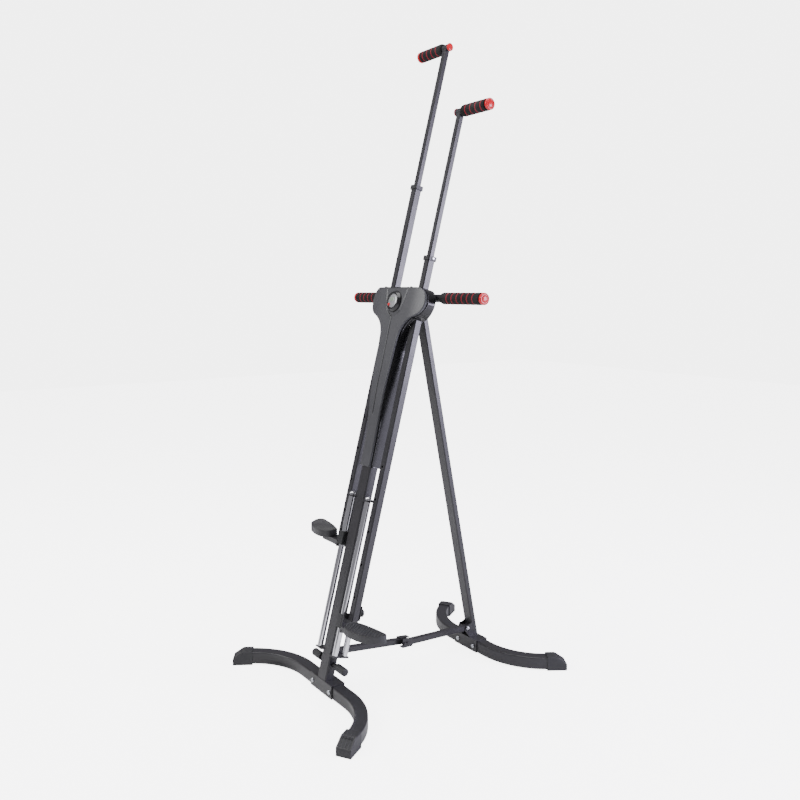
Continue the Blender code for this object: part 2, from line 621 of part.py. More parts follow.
def arm(word, side, raise_by):
    """One climbing arm: slider block on the rods, bracket, pedal, tubes, collar and handle."""
    axis = empty(f"{word}_arm_axis", at(side * ARM_X, 0.0, raise_by), 0.0, lean)
    half = ARM_SIZE / 2

    def across(x):
        """Distance from the machine's middle, turned into this arm's own x."""
        return side * (x - ARM_X)

    def span(a, b):
        return sorted((across(a), across(b)))

    tube = finish(f"{word}_arm_tube", straight_tube(half, half, 0.003, ARM_WALL, ARM_BOTTOM, ARM_TOP),
                  BLACK_STEEL, axis)
    for i in range(HOLE_COUNT):
        cut(tube, rod(HOLE_RADIUS, -half - 0.002, -half + 0.004, "y", 12,
                      (0.0, 0.0, HOLE_FIRST + i * HOLE_PITCH)))
        cut(tube, rod(HOLE_RADIUS + 0.0006, half - 0.004, half + 0.002, "y", 12,
                      (0.0, 0.0, PIN_FIRST + i * HOLE_PITCH)))

    low, high = span(SLIDER_IN, SLIDER_OUT)
    block = finish(f"{word}_slider_block",
                   rounded_box((low, -SLIDER_DEPTH, SLIDER_BOTTOM), (high, SLIDER_DEPTH, SLIDER_TOP),
                               0.0015, 1), BLACK_PLASTIC, axis)
    for n in (ROD_N, -ROD_N):
        cut(block, rod(ROD_RADIUS + 0.0004, SLIDER_BOTTOM - 0.01, SLIDER_TOP + 0.01, "z", 18,
                       (across(ROD_X), -n, 0.0)))

    # bracket: plate between block and tube, plate behind the tube, channel under the pedal
    low, high = span(SLIDER_OUT + 0.0004, ARM_X - half - 0.0006)
    bracket = finish(f"{word}_arm_bracket", box((low, -0.027, 0.206), (high, 0.0162, 0.264)),
                     BLACK_STEEL, axis)
    low, high = span(SLIDER_OUT + 0.002, ARM_X + half)
    weld(bracket, box((low, half + 0.0006, 0.250), (high, half + 0.0036, 0.294)))
    pedal_tilt = Matrix.Rotation(LEAN, 4, "X")
    arm_y = PEDAL_TOP_Z * tan(LEAN)
    under = PEDAL_TOP_Z - PEDAL_THICK - FIT
    low, high = span(SLIDER_OUT + 0.002, 0.148)
    shelf = box((low, arm_y - 0.036, under - 0.017), (high, arm_y - 0.004, under))
    bmesh.ops.transform(shelf, matrix=pedal_tilt, verts=shelf.verts)
    weld(bracket, shelf)
    cut(bracket, rod(0.0044, half - 0.004, half + 0.006, "y", 16, (0.0, 0.0, PIN_FIRST)))

    outline = [(across(x), arm_y + y) for x, y in PEDAL_SHAPE]
    tread = prism(outline, PEDAL_TOP_Z - PEDAL_THICK, PEDAL_TOP_Z, "z")
    bmesh.ops.transform(tread, matrix=pedal_tilt, verts=tread.verts)
    finish(f"{word}_pedal", tread, BLACK_PLASTIC, axis)

    back = half + 0.0036 + FIT
    finish(f"{word}_pull_knob", turned((
        (0.0, -0.0075), (0.0038, -0.0075), (0.0038, 0.0), (0.006, 0.0), (0.006, 0.0025),
        (0.013, 0.0035), (0.013, 0.0095), (0.010, 0.0125), (0.0, 0.0130)), "y", 16),
        BLACK_PLASTIC, axis, True, (0.0, back, PIN_FIRST))

    collar_top = ARM_TOP + 0.0045
    collar_low = ARM_TOP - 0.0085
    rings = []
    for size, radius, height in ((0.016, 0.004, collar_low), (0.016, 0.004, collar_top),
                                 (0.0095, 0.002, collar_top), (0.0095, 0.002, ARM_TOP + FIT),
                                 (half + 0.0004, 0.002, ARM_TOP + FIT), (half + 0.0004, 0.002, collar_low)):
        rings.append([(a, b, height) for a, b in rounded_rect(size, size, radius)])
    collar = finish(f"{word}_collar", stack(rings, closed=True), BLACK_PLASTIC, axis)
    button_v = ARM_TOP - 0.0020
    cut(collar, rod(0.0049, *sorted((side * (half + 0.0001), side * 0.018)), "x", 16, (0, 0, button_v)))
    button = [(0.0, 0.0), (0.0045, 0.0), (0.0045, 0.0035), (0.0035, 0.0045), (0.0, 0.0050)]
    finish(f"{word}_lock_button", turned([(r, side * x) for r, x in button], "x", 16), ZINC, axis, True,
           (side * 0.0152, 0.0, button_v))

    # handle: inner tube, cross bar, foam grip, outer cap and inner plug
    inner = INNER_SIZE / 2
    handle = finish(f"{word}_handle_tube",
                    straight_tube(inner, inner, 0.0025, INNER_WALL, INNER_BOTTOM, HANDLE_V - 0.0062),
                    BLACK_STEEL, axis)
    place = (0.0, 0.0, HANDLE_V)
    ends = sorted((-side * HANDLE_IN, side * HANDLE_OUT))
    weld(handle, pipe(HANDLE_RADIUS, HANDLE_BORE, ends[0], ends[1], "x", 20, place))
    foam_grip(f"{word}_hand_grip", GRIP_START, GRIP_END, HANDLE_RADIUS + FIT, side, axis, place)
    end_cap(f"{word}_grip_cap", HANDLE_BORE, HANDLE_OUT, side, axis, place, GRIP_CAP_RADIUS)
    plug = [(0.0, HANDLE_IN - 0.006), (HANDLE_BORE - 0.0004, HANDLE_IN - 0.006),
            (HANDLE_BORE - 0.0004, HANDLE_IN + FIT), (0.0125, HANDLE_IN + FIT), (0.0125, HANDLE_IN + 0.0028),
            (0.0095, HANDLE_IN + 0.0048), (0.0, HANDLE_IN + 0.0055)]
    finish(f"{word}_grip_plug", turned([(r, -side * x) for r, x in plug], "x", 20, place),
           RED_PLASTIC, axis, True)


arm("left", -1, ARM_OFFSET)
arm("right", 1, 0.0)


# ---------------------------------------------------------------- rear leg and its hinge
hinge_n, hinge_v = world_to_lean(HINGE_Y, HINGE_Z)
web_front = -COLUMN_BACK + FIT
bracket = finish("hinge_bracket", box((-0.0236, web_front, 1.162), (0.0236, web_front + PLATE, 1.2615)),
                 BLACK_STEEL, lean)
cheek = [(web_front + 0.001, 1.162), (-hinge_n - 0.006, 1.182), (-hinge_n + 0.010, 1.190),
         (-hinge_n + 0.016, hinge_v), (-hinge_n + 0.010, hinge_v + 0.014), (0.046, 1.2615),
         (web_front + 0.001, 1.2615)]
for side in (-1, 1):
    ends = sorted((side * 0.0206, side * 0.0236))
    weld(bracket, prism(cheek, ends[0], ends[1], "x"))
cut(bracket, rod(BAR_RADIUS + 0.0004, -0.04, 0.04, "x", 24, at(0, BAR_N, BAR_V)))
cut(bracket, rod(0.0053, -0.04, 0.04, "x", 16, at(0, hinge_n, hinge_v)))
finish("hinge_pin", bolt(0.005, 0.009, -0.0239, 0.0239, 0.005, "x", at(0, hinge_n, hinge_v)),
       ZINC, lean, True)

leg_axis = empty("rear_leg_axis", (0.0, HINGE_Y, HINGE_Z), LEG_LEAN, ground)
to_leg = Matrix.Rotation(-LEG_LEAN, 4, "X") @ Matrix.Translation((0.0, -HINGE_Y, -HINGE_Z))
leg_bottom = (SADDLE_TOP - 0.0015 - HINGE_Z) / cos(LEG_LEAN)


def leg_ring(inset, level):
    """Ring round the leg: square across at its top, cut level where it meets the saddle."""
    ring = []
    for a, b in rounded_rect(LEG_WIDTH / 2 - inset, LEG_DEPTH / 2 - inset, 0.003 - inset * 0.8):
        ring.append((a, b, 0.014 if level is None else leg_bottom + level - b * tan(LEG_LEAN)))
    return ring


leg = finish("rear_leg", stack([leg_ring(0.0, 0.0), leg_ring(0.0, None), leg_ring(LEG_WALL, None),
                                leg_ring(LEG_WALL, 0.0003)], closed=True), BLACK_STEEL, leg_axis)
rear_saddle = saddle(REAR_FOOT, REAR_SADDLE_HALF)
bmesh.ops.transform(rear_saddle, matrix=to_leg, verts=rear_saddle.verts)
weld(leg, rear_saddle)
by, bz = BRACE_B
gusset = [(REAR_FOOT["y"] - FOOT_SIZE / 2, SADDLE_TOP - 0.001), (by - 0.012, bz - 0.004),
          (by - 0.006, bz + 0.011), (by + 0.006, bz + 0.012), (0.581, bz + 0.022),
          (0.590, SADDLE_TOP - 0.001)]
for side in (-1, 1):
    ends = sorted((side * 0.0170, side * 0.0196))
    web = prism(gusset, ends[0], ends[1], "x")
    bmesh.ops.transform(web, matrix=to_leg, verts=web.verts)
    weld(leg, web)
cut(leg, rod(0.0053, -0.04, 0.04, "x", 16))
hole = rod(0.0044, -0.04, 0.04, "x", 16, (0.0, by, bz))
bmesh.ops.transform(hole, matrix=to_leg, verts=hole.verts)
cut(leg, hole)

rear_foot = foot_tube("rear_foot_tube", REAR_FOOT)
for side, word in ((-1, "left"), (1, "right")):
    foot_cap(f"rear_foot_cap_{word}", REAR_FOOT, side)
    place = (side * REAR_BOLT_X, REAR_FOOT["y"], FOOT_BASE + FOOT_SIZE / 2)
    finish(f"rear_foot_bolt_{word}", bolt(0.004, 0.0075, -face - FIT, face + FIT, 0.005, "y", place),
           ZINC, smooth=True)
    cut(rear_foot, rod(0.0044, -0.03, 0.03, "y", 12, place))
    hole = rod(0.0044, -0.04, 0.04, "y", 12, place)
    bmesh.ops.transform(hole, matrix=to_leg, verts=hole.verts)
    cut(leg, hole)


# ---------------------------------------------------------------- folding brace
def brace_link(name, pivot, tip, lane, parent_name):
    """Link from its own pivot towards the knuckle; its axis empty sits on the pivot."""
    run = Vector(tip) - Vector(pivot)
    length = run.length
    tilt = Vector((1.0, 0.0)).angle_signed(run) * -1.0
    axis = empty(parent_name, (0.0, pivot[0], pivot[1]), tilt, ground)
    outline = rounded_rect(LINK_WIDTH / 2, LINK_HEIGHT / 2, 0.002)
    inner = rounded_rect(LINK_WIDTH / 2 - 0.0015, LINK_HEIGHT / 2 - 0.0015, 0.0006)
    ends = (-0.010, length + 0.010)
    rings = [[(a + lane, ends[0], b) for a, b in outline], [(a + lane, ends[1], b) for a, b in outline],
             [(a + lane, ends[1], b) for a, b in inner], [(a + lane, ends[0], b) for a, b in inner]]
    link = finish(name, stack(rings, closed=True), BLACK_STEEL, axis)
    for along in (0.0, length):
        cut(link, rod(0.0044, -0.03, 0.03, "x", 16, (0.0, along, 0.0)))
    return axis, length


def knuckle(name, lane, axis, length, reach):
    """Half of the knuckle channel: side plate, top flange and two bolt heads on one link."""
    side = 1 if lane > 0 else -1
    outer = LINK_LANE * 2 + 0.0022
    low, high = length - reach[0], length + reach[1]
    ends = sorted((side * (LINK_LANE * 2 - 0.0002), side * outer))
    plate = finish(name, box((ends[0], low, -0.0165), (ends[1], high, 0.0130)), BLACK_STEEL, axis)
    ends = sorted((side * 0.0006, side * outer))
    weld(plate, box((ends[0], low, 0.0105), (ends[1], high, 0.0130)))
    for along in (0.0, reach[2]):
        ends = sorted((side * (outer - 0.001), side * (outer + 0.004)))
        weld(plate, rod(0.0055, ends[0], ends[1], "x", 12, (0.0, length + along, 0.0)))


front_axis, front_length = brace_link("brace_front_link", BRACE_A, BRACE_K, -LINK_LANE, "brace_front_axis")
rear_axis, rear_length = brace_link("brace_rear_link", BRACE_B, BRACE_K, LINK_LANE, "brace_rear_axis")
knuckle("knuckle_left", -1, front_axis, front_length, (0.020, 0.019, -0.012))
knuckle("knuckle_right", 1, rear_axis, rear_length, (0.019, 0.020, 0.012))
finish("brace_front_bolt", bolt(0.004, 0.007, -0.0205, 0.0205, 0.004, "x", (0.0, *BRACE_A)),
       ZINC, smooth=True)
finish("brace_rear_bolt", bolt(0.004, 0.007, -0.0199, 0.0199, 0.004, "x", (0.0, *BRACE_B)),
       ZINC, smooth=True)
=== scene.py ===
"""Looks of a folding vertical stair climber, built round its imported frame.

Metres, +Z up, the origin on the floor in the middle of the footprint. The column leans back
from the user, who stands on the -Y side; x runs across the machine, n points out of the
column's front face and v climbs along the column from the floor.
"""

import json
from math import cos, pi, radians, sin

import bmesh
import bpy
import numpy as np
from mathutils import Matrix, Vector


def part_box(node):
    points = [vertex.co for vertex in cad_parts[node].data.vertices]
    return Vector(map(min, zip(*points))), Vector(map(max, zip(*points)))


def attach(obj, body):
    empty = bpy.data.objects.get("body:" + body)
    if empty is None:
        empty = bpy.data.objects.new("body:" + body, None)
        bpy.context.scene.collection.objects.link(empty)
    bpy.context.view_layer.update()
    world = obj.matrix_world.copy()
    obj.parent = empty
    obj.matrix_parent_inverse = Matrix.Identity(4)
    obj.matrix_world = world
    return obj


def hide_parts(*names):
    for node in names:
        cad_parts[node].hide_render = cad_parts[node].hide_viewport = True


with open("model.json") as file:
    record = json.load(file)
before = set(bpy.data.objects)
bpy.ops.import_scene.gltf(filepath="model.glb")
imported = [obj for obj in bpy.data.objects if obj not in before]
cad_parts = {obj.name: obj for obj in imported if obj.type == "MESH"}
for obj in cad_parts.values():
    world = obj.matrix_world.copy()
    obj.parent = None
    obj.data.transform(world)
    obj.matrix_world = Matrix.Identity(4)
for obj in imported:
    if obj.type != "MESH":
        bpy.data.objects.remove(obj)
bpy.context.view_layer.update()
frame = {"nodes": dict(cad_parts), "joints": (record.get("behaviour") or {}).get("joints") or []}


# ------------------------------------------------------------------ studio
# A white cyclorama: a pale sheet of paper under the machine, a soft box over the user's side,
# a tall lavender one behind the machine's right side that the tube flanks mirror, and a fill.
scene = bpy.context.scene


def linear(colour):
    """sRGB hex to linear values: each channel goes through the sRGB curve's inverse."""
    parts = np.array([int(colour[i:i + 2], 16) for i in (1, 3, 5)]) / 255.0
    curved = np.where(parts <= 0.04045, parts / 12.92, ((parts + 0.055) / 1.055) ** 2.4)
    return (*curved.tolist(), 1.0)


def add(tree, kind, links=None, **settings):
    """One shader node: settings are its own properties or its sockets' values, links its inputs."""
    made = tree.nodes.new("ShaderNode" + kind)
    for name, value in settings.items():
        if hasattr(made, name):
            setattr(made, name, value)
        else:
            made.inputs[name.replace("_", " ")].default_value = value
    for socket, source in (links or {}).items():
        tree.links.new(source, made.inputs[socket])
    return made


camera_data = bpy.data.cameras.new("studio_camera")
camera_data.lens = 37.81
camera_data.sensor_width = 36.0
camera = bpy.data.objects.new("studio_camera", camera_data)
camera.location = (2.137, -1.5028, 1.2217)
camera.rotation_euler = (radians(90 - 7.396), 0.0, radians(55.058))
scene.collection.objects.link(camera)
scene.camera = camera

WHITE_OUT = 5.0                 # brightness at which the backdrop reads as pale paper

world = bpy.data.worlds.new("white_studio")
world.use_nodes = True
world.node_tree.nodes.clear()
seen = add(world.node_tree, "Background", Color=(1.0, 1.0, 1.0, 1.0), Strength=WHITE_OUT)
felt = add(world.node_tree, "Background", Color=linear("#eceaf2"), Strength=0.38)
ray = add(world.node_tree, "LightPath")
choice = add(world.node_tree, "MixShader", {0: ray.outputs["Is Camera Ray"], 1: felt.outputs[0],
                                            2: seen.outputs[0]})
add(world.node_tree, "OutputWorld", {"Surface": choice.outputs[0]})
scene.world = world


def soft_box(name, place, target, width, height, power, colour):
    """Rectangular studio light at a place, turned towards a target."""
    data = bpy.data.lights.new(name, "AREA")
    data.shape = "RECTANGLE"
    data.size = width
    data.size_y = height
    data.energy = power
    data.color = linear(colour)[:3]
    lamp = bpy.data.objects.new(name, data)
    lamp.location = place
    aim = np.array(target) - np.array(place)
    lamp.rotation_euler = (np.arctan2(np.hypot(aim[0], aim[1]), -aim[2]), 0.0,
                           np.arctan2(aim[1], aim[0]) - pi / 2)
    scene.collection.objects.link(lamp)


soft_box("key_box", (-1.2, -3.2, 3.0), (0.0, 0.0, 1.0), 2.4, 2.0, 130.0, "#ffffff")
soft_box("flank_box", (2.9, 2.1, 1.35), (0.0, 0.0, 1.25), 1.6, 1.5, 210.0, "#dcd8f0")
soft_box("top_box", (0.3, -0.4, 4.2), (0.0, 0.0, 0.0), 3.0, 3.0, 150.0, "#ffffff")

floor_mesh = bpy.data.meshes.new("paper_floor")
floor_mesh.from_pydata([(-9, -9, 0), (9, -9, 0), (9, 9, 0), (-9, 9, 0)], [], [(0, 1, 2, 3)])
paper = bpy.data.materials.new("white_backdrop_paper")
paper.use_nodes = True
paper_shader = paper.node_tree.nodes["Principled BSDF"]
paper_shader.inputs["Base Color"].default_value = linear("#fafafa")
paper_shader.inputs["Roughness"].default_value = 0.9
paper_ray = add(paper.node_tree, "LightPath")
paper_glow = add(paper.node_tree, "Math", {0: paper_ray.outputs["Is Camera Ray"]},
                 operation="MULTIPLY")
paper_glow.inputs[1].default_value = WHITE_OUT
paper_shader.inputs["Emission Color"].default_value = (1.0, 1.0, 1.0, 1.0)
paper.node_tree.links.new(paper_glow.outputs[0], paper_shader.inputs["Emission Strength"])
floor_mesh.materials.append(paper)
floor = bpy.data.objects.new("paper_floor", floor_mesh)
scene.collection.objects.link(floor)


# ------------------------------------------------------------------ feet
# Two bent square tubes, 40 mm of 2 mm steel, powder coated satin black. Each is straight in its
# middle, where the upright's saddle sits over it, and its ends sweep away from the machine.
# Bending draws the inner wall of each bend in a little.
FOOT_TUBE = 0.040
FOOT_WALL = 0.002
FOOT_CORNER = 0.0055
FRONT_SWEEP = dict(straight=0.1294, radius=0.2241, angle=radians(58.5), end=0.0570, toward=-1)
REAR_SWEEP = dict(straight=0.0908, radius=0.2185, angle=radians(57.5), end=0.0572, toward=1)
TUBE_IN_SHOE = 0.026            # how far short of the shoe's toe the tube stops
BEND_DENT = 0.0045
MOTTLE_SCALE = 14.0             # wide soft noise, patches about 70 mm across


def skin_material(name, colour, roughness, grain, depth, mottle=0.10, **shader):
    """Moulded or coated skin: noise with cells `grain` metres wide lifts it by `depth` metres,
    and wide soft noise moves its lightness and roughness by about `mottle` either way."""
    made = bpy.data.materials.new(name)
    made.use_nodes = True
    tree = made.node_tree
    surface_shader = tree.nodes["Principled BSDF"]
    for socket, value in shader.items():
        surface_shader.inputs[socket.replace("_", " ")].default_value = value
    where = add(tree, "TexCoord")
    fine = add(tree, "TexNoise", {"Vector": where.outputs["Object"]}, Scale=1.0 / grain, Detail=3.0)
    wide = add(tree, "TexNoise", {"Vector": where.outputs["Object"]}, Scale=MOTTLE_SCALE,
               Detail=4.0)
    rough = add(tree, "MapRange", {"Value": wide.outputs["Fac"]}, From_Min=0.3, From_Max=0.7,
                To_Min=roughness * (1 - mottle), To_Max=roughness * (1 + mottle))
    base = np.array(linear(colour)[:3])
    tone = add(tree, "Mix", {"Factor": wide.outputs["Fac"]}, data_type="RGBA")
    tone.inputs[6].default_value = (*(base * (1 - mottle)).tolist(), 1.0)
    tone.inputs[7].default_value = (*(base * (1 + mottle)).tolist(), 1.0)
    lift = add(tree, "Bump", {"Height": fine.outputs["Fac"]}, Strength=1.0, Distance=depth)
    tree.links.new(tone.outputs[2], surface_shader.inputs["Base Color"])
    tree.links.new(rough.outputs[0], surface_shader.inputs["Roughness"])
    tree.links.new(lift.outputs[0], surface_shader.inputs["Normal"])
    return made


# polyester powder coat: satin black with the faint orange peel of baked powder, cells about
# 1.5 mm wide, which breaks the long reflections on the tubes
powder_coat = skin_material("powder_coated_steel", "#242326", 0.36, 0.0015, 0.00004)


def paint(material, *nodes):
    """Give CAD nodes, which keep their own shape, a finish."""
    for name in nodes:
        mesh = frame["nodes"][name].data
        mesh.materials.clear()
        mesh.materials.append(material)


def surface(name, grid, material, joined=False, sharp=38):
    """Piece from a grid of points [along, around, 3]. Neighbours share a four-sided face, around
    always closes on itself, and along too when joined; rows drawn to one point become poles."""
    number = np.arange(grid.shape[0] * grid.shape[1]).reshape(grid.shape[:2])
    beside = np.roll(number, -1, axis=1)
    above, across_above = np.roll(number, -1, axis=0), np.roll(beside, -1, axis=0)
    faces = np.stack([number, beside, across_above, above], axis=-1)
    faces = faces if joined else faces[:-1]
    return shell(name, grid, faces.reshape(-1, 4), material, True, sharp)


def shell(name, grid, faces, material, closed, sharp=38):
    """Mesh object from points and four-sided faces, with doubles merged and smooth shading."""
    mesh = bpy.data.meshes.new(name)
    mesh.from_pydata(grid.reshape(-1, 3).tolist(), [], faces.tolist())
    work = bmesh.new()
    work.from_mesh(mesh)
    bmesh.ops.remove_doubles(work, verts=work.verts, dist=2e-6)
    if closed:
        bmesh.ops.recalc_face_normals(work, faces=work.faces)
    work.to_mesh(mesh)
    work.free()
    mesh.shade_smooth()
    mesh.set_sharp_from_angle(angle=radians(sharp))
    mesh.materials.append(material)
    made = bpy.data.objects.new(name, mesh)
    scene.collection.objects.link(made)
    return made


def soften(points, size, steps=5, closed=True):
    """Outline with rounded corners: each corner becomes a quadratic curve that leaves its two
    edges `size` away from the corner, or at 45% of the shorter edge."""
    points = np.asarray(points, float)
    back = np.roll(points, 1, axis=0) - points
    ahead = np.roll(points, -1, axis=0) - points
    back_run = np.maximum(np.linalg.norm(back, axis=1), 1e-9)
    ahead_run = np.maximum(np.linalg.norm(ahead, axis=1), 1e-9)
    reach = np.minimum(size, 0.45 * np.minimum(back_run, ahead_run))
    if not closed:
        reach[[0, -1]] = 0.0
    start = (points + back * (reach / back_run)[:, None])[:, None]
    end = (points + ahead * (reach / ahead_run)[:, None])[:, None]
    t = np.linspace(0.0, 1.0, steps)[None, :, None]
    return (start * (1 - t) ** 2 + points[:, None] * 2 * t * (1 - t) + end * t * t).reshape(-1, 2)


def rectangle(half_a, half_b):
    return np.array([(half_a, half_b), (-half_a, half_b), (-half_a, -half_b), (half_a, -half_b)])


def foot_line(sweep, trim, steps=26):
    """Middle line of a foot, right half: x, y and heading. A level run, an arc, a level end."""
    turn = np.linspace(0.0, sweep["angle"], steps)
    x = sweep["straight"] + sweep["radius"] * np.sin(turn)
    y = sweep["radius"] * (1 - np.cos(turn))
    run = sweep["end"] - trim
    x = np.concatenate([[0.0], x, [x[-1] + run * cos(turn[-1])]])
    y = np.concatenate([[0.0], y, [y[-1] + run * sin(turn[-1])]])
    return x, y * sweep["toward"], np.concatenate([[0.0], turn, turn[-1:]]) * sweep["toward"]


def foot_middle(node, sweep):
    """Y of the straight part's middle line, from the foot's own box."""
    low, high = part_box(node)
    return high.y - FOOT_TUBE / 2 if sweep["toward"] < 0 else low.y + FOOT_TUBE / 2


def foot(node, sweep):
    """The tube's rounded square, outside and inside, carried along its middle line. On the
    inner side of a bend the wall is drawn in by a squared cosine, fading towards its ends."""
    half_lines = zip(foot_line(sweep, TUBE_IN_SHOE), (-1, 1, -1))
    x, y, turn = (np.concatenate([sign * line[::-1], line[1:]]) for line, sign in half_lines)
    bent = np.sin(pi * np.clip(np.abs(turn) / sweep["angle"], 0, 1)) ** 2
    middle_z = np.mean([corner.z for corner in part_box(node)])
    rings = []
    for inset in (0.0, FOOT_WALL):
        half = FOOT_TUBE / 2 - inset
        corners = soften(rectangle(half, half), FOOT_CORNER - inset, 7).reshape(4, 7, 2)
        side = np.full(15, half)
        level = np.linspace(half - 0.006, 0.006 - half, 15)
        climb = np.linspace(-0.014, 0.014, 15)
        runs = ((level, side), (-side, -climb), (-level, -side), (side, climb))
        outline = np.concatenate([part for corner, run in zip(corners, runs)
                                  for part in (corner, np.stack(run, 1))])
        a, b = outline[:, 0], outline[:, 1]
        inner = np.clip(sweep["toward"] * a / half, 0, 1) ** 8 * np.cos(b / half * pi / 2) ** 2
        a = a[None] - sweep["toward"] * BEND_DENT * bent[:, None] * inner[None]
        rings.append(np.stack([x[:, None] - np.sin(turn)[:, None] * a,
                               foot_middle(node, sweep) + y[:, None] + np.cos(turn)[:, None] * a,
                               np.broadcast_to(middle_z + b[None], a.shape)], axis=-1))
    return surface(node + "_bent", np.concatenate([rings[0], rings[1][::-1]]), powder_coat, True)


for foot_node, sweep, body in (("front_foot_tube", FRONT_SWEEP, "frame"),
                               ("rear_foot_tube", REAR_SWEEP, "rear_leg")):
    tube = foot(foot_node, sweep)
    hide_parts(foot_node)
    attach(tube, body)


# ------------------------------------------------------------------ rubber shoes
# Four moulded rubber shoes pushed over the tube ends: level top, a sloped toe with moulded
# flutes, a thick rim where the tube goes in, and a flat sole that the machine stands on.
SHOE_LENGTH = 0.065
SHOE_WIDTH = 0.046
SHOE_HEIGHT = 0.046
SHOE_FLAT = 0.032
TOE_HEIGHT = 0.021
FLUTE_PITCH = 0.0095
FLUTE_DEPTH = 0.0024
FLUTED_HALF = 0.0195
SHOE_EDGE = 0.0032              # radius of the toe's edge
RIM_LIP = 0.0024                # wall of the rim where the tube goes in

# styrene-butadiene rubber: dull dark grey that greys further where it's handled, 0.6 mm grain
rubber = skin_material("moulded_rubber", "#262628", 0.62, 0.0006, 0.00005, 0.16)


def shoe(node, sweep, foot_node, side):
    """A rounded rectangle carried from rim to toe, as high as the profile says at each station;
    the top's flutes are a cosine across the slope. The rim turns in to meet the tube."""
    turn = np.linspace(0.0, pi / 2, 7)
    rim_edge = 0.4 * SHOE_EDGE
    closed = 0.5                    # an inset wider than the shoe draws a row to one point
    along = np.concatenate([[0.006, 0.006, 0.0006], rim_edge * (1 - np.cos(turn)),
                            np.linspace(0.003, SHOE_LENGTH - SHOE_EDGE, 60),
                            SHOE_LENGTH - SHOE_EDGE + SHOE_EDGE * np.sin(turn), [SHOE_LENGTH]])
    inset = np.concatenate([[closed, RIM_LIP, RIM_LIP], rim_edge * (1 - np.sin(turn)), np.zeros(60),
                            SHOE_EDGE * (1 - np.cos(turn)), [closed]])
    stations = (0, SHOE_FLAT - 0.003, SHOE_FLAT + 0.003, SHOE_LENGTH - 0.002, SHOE_LENGTH)
    heights = (SHOE_HEIGHT, SHOE_HEIGHT, SHOE_HEIGHT - 0.002, TOE_HEIGHT + 0.004, TOE_HEIGHT)
    top = np.interp(along, stations, heights)
    across = np.linspace(-1, 1, 61)
    rim = np.linspace(-1, 1, 9)
    corners = soften(rectangle(1, 1), 0.13, 6)
    unit = np.concatenate([np.stack([-across, np.ones(61)], 1)[6:-6], corners[6:12],
                           np.stack([-np.ones(9), -rim], 1)[1:-1], corners[12:18],
                           np.stack([rim, -np.ones(9)], 1)[1:-1], corners[18:],
                           np.stack([np.ones(9), rim], 1)[1:-1], corners[:6]])
    shrink_a = np.maximum(SHOE_WIDTH / 2 - inset, 0.0)[:, None]
    shrink_b = np.maximum(top / 2 - inset, 0.0)[:, None]
    a = shrink_a * unit[None, :, 0]
    b = top[:, None] / 2 + shrink_b * unit[None, :, 1]
    slope = np.clip((along - SHOE_FLAT + 0.008) / 0.008, 0, 1)
    slope = slope * np.clip((SHOE_LENGTH - 0.003 - along) / 0.004, 0, 1)
    waves = 0.5 - 0.5 * np.cos(2 * pi * a / FLUTE_PITCH)
    on_top = np.clip((unit[None, :, 1] - 0.98) / 0.02, 0, 1)
    on_top = on_top * np.clip((FLUTED_HALF - np.abs(a)) / 0.003, 0, 1)
    b = b - FLUTE_DEPTH * waves * on_top * slope[:, None]
    x, y, heading = (line[-1] for line in foot_line(sweep, 0.0))
    x, heading = (x, heading) if side > 0 else (-x, pi - heading)
    s = along[:, None] - SHOE_LENGTH
    grid = np.stack([x + cos(heading) * s - sin(heading) * a,
                     foot_middle(foot_node, sweep) + y + sin(heading) * s + cos(heading) * a, b], -1)
    return surface(node + "_moulded", grid, rubber, sharp=50)


for foot_node, sweep, body, word in (("front_foot_tube", FRONT_SWEEP, "frame", "front"),
                                     ("rear_foot_tube", REAR_SWEEP, "rear_leg", "rear")):
    for side, hand in ((-1, "left"), (1, "right")):
        node = f"{word}_foot_cap_{hand}"
        cap = shoe(node, sweep, foot_node, side)
        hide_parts(node)
        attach(cap, body)


# ------------------------------------------------------------------ welded and bent steel
# Column with its saddle, rear leg, hinge bracket, arms, brackets, folding links: square and
# rectangular tube and bent plate, welded, then powder coated like the feet.
paint(powder_coat, "column_post", "rear_leg", "hinge_bracket", "brace_front_link", "brace_rear_link",
      "knuckle_left", "knuckle_right", "bumper_bar", "left_arm_tube", "right_arm_tube",
      "left_arm_bracket", "right_arm_bracket", "left_handle_tube", "right_handle_tube")

slide = next(joint for joint in frame["joints"] if joint["name"] == "right_arm_slide")
across = np.array((1.0, 0.0, 0.0))
up = np.array(slide["axis"])
out = np.cross(across, up)
tube_low, tube_high = (np.array(corner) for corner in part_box("right_arm_tube"))
tube_middle = (tube_low + tube_high) / 2
column_foot = np.array((0.0, tube_middle[1] - tube_middle[2] * up[1] / up[2], 0.0))


def leaning(x, n, v):
    """Points from their place across, out of and up the leaning column."""
    x, n, v = np.broadcast_arrays(x, n, v)
    return column_foot + x[..., None] * across + n[..., None] * out + v[..., None] * up


def lean_span(node):
    """Lowest and highest (x, n, v) of a CAD node."""
    mesh = frame["nodes"][node].data
    points = np.empty(len(mesh.vertices) * 3, np.float32)
    mesh.vertices.foreach_get("co", points)
    measured = (points.reshape(-1, 3) - column_foot) @ np.stack([across, out, up]).T
    return measured.min(axis=0), measured.max(axis=0)


# ------------------------------------------------------------------ guide rods
# Four 18 mm steel bars, ground and hard chromed, screwed between small plates on the column;
# the slider blocks run on them. Each has a bright domed nut on top.
ROUND = 56                      # stations round a turned piece
ROD_RADIUS = 0.009
NECK_RADIUS = 0.0052
NUT_SEAT = 0.0115               # from the nut's seat to the top of its dome


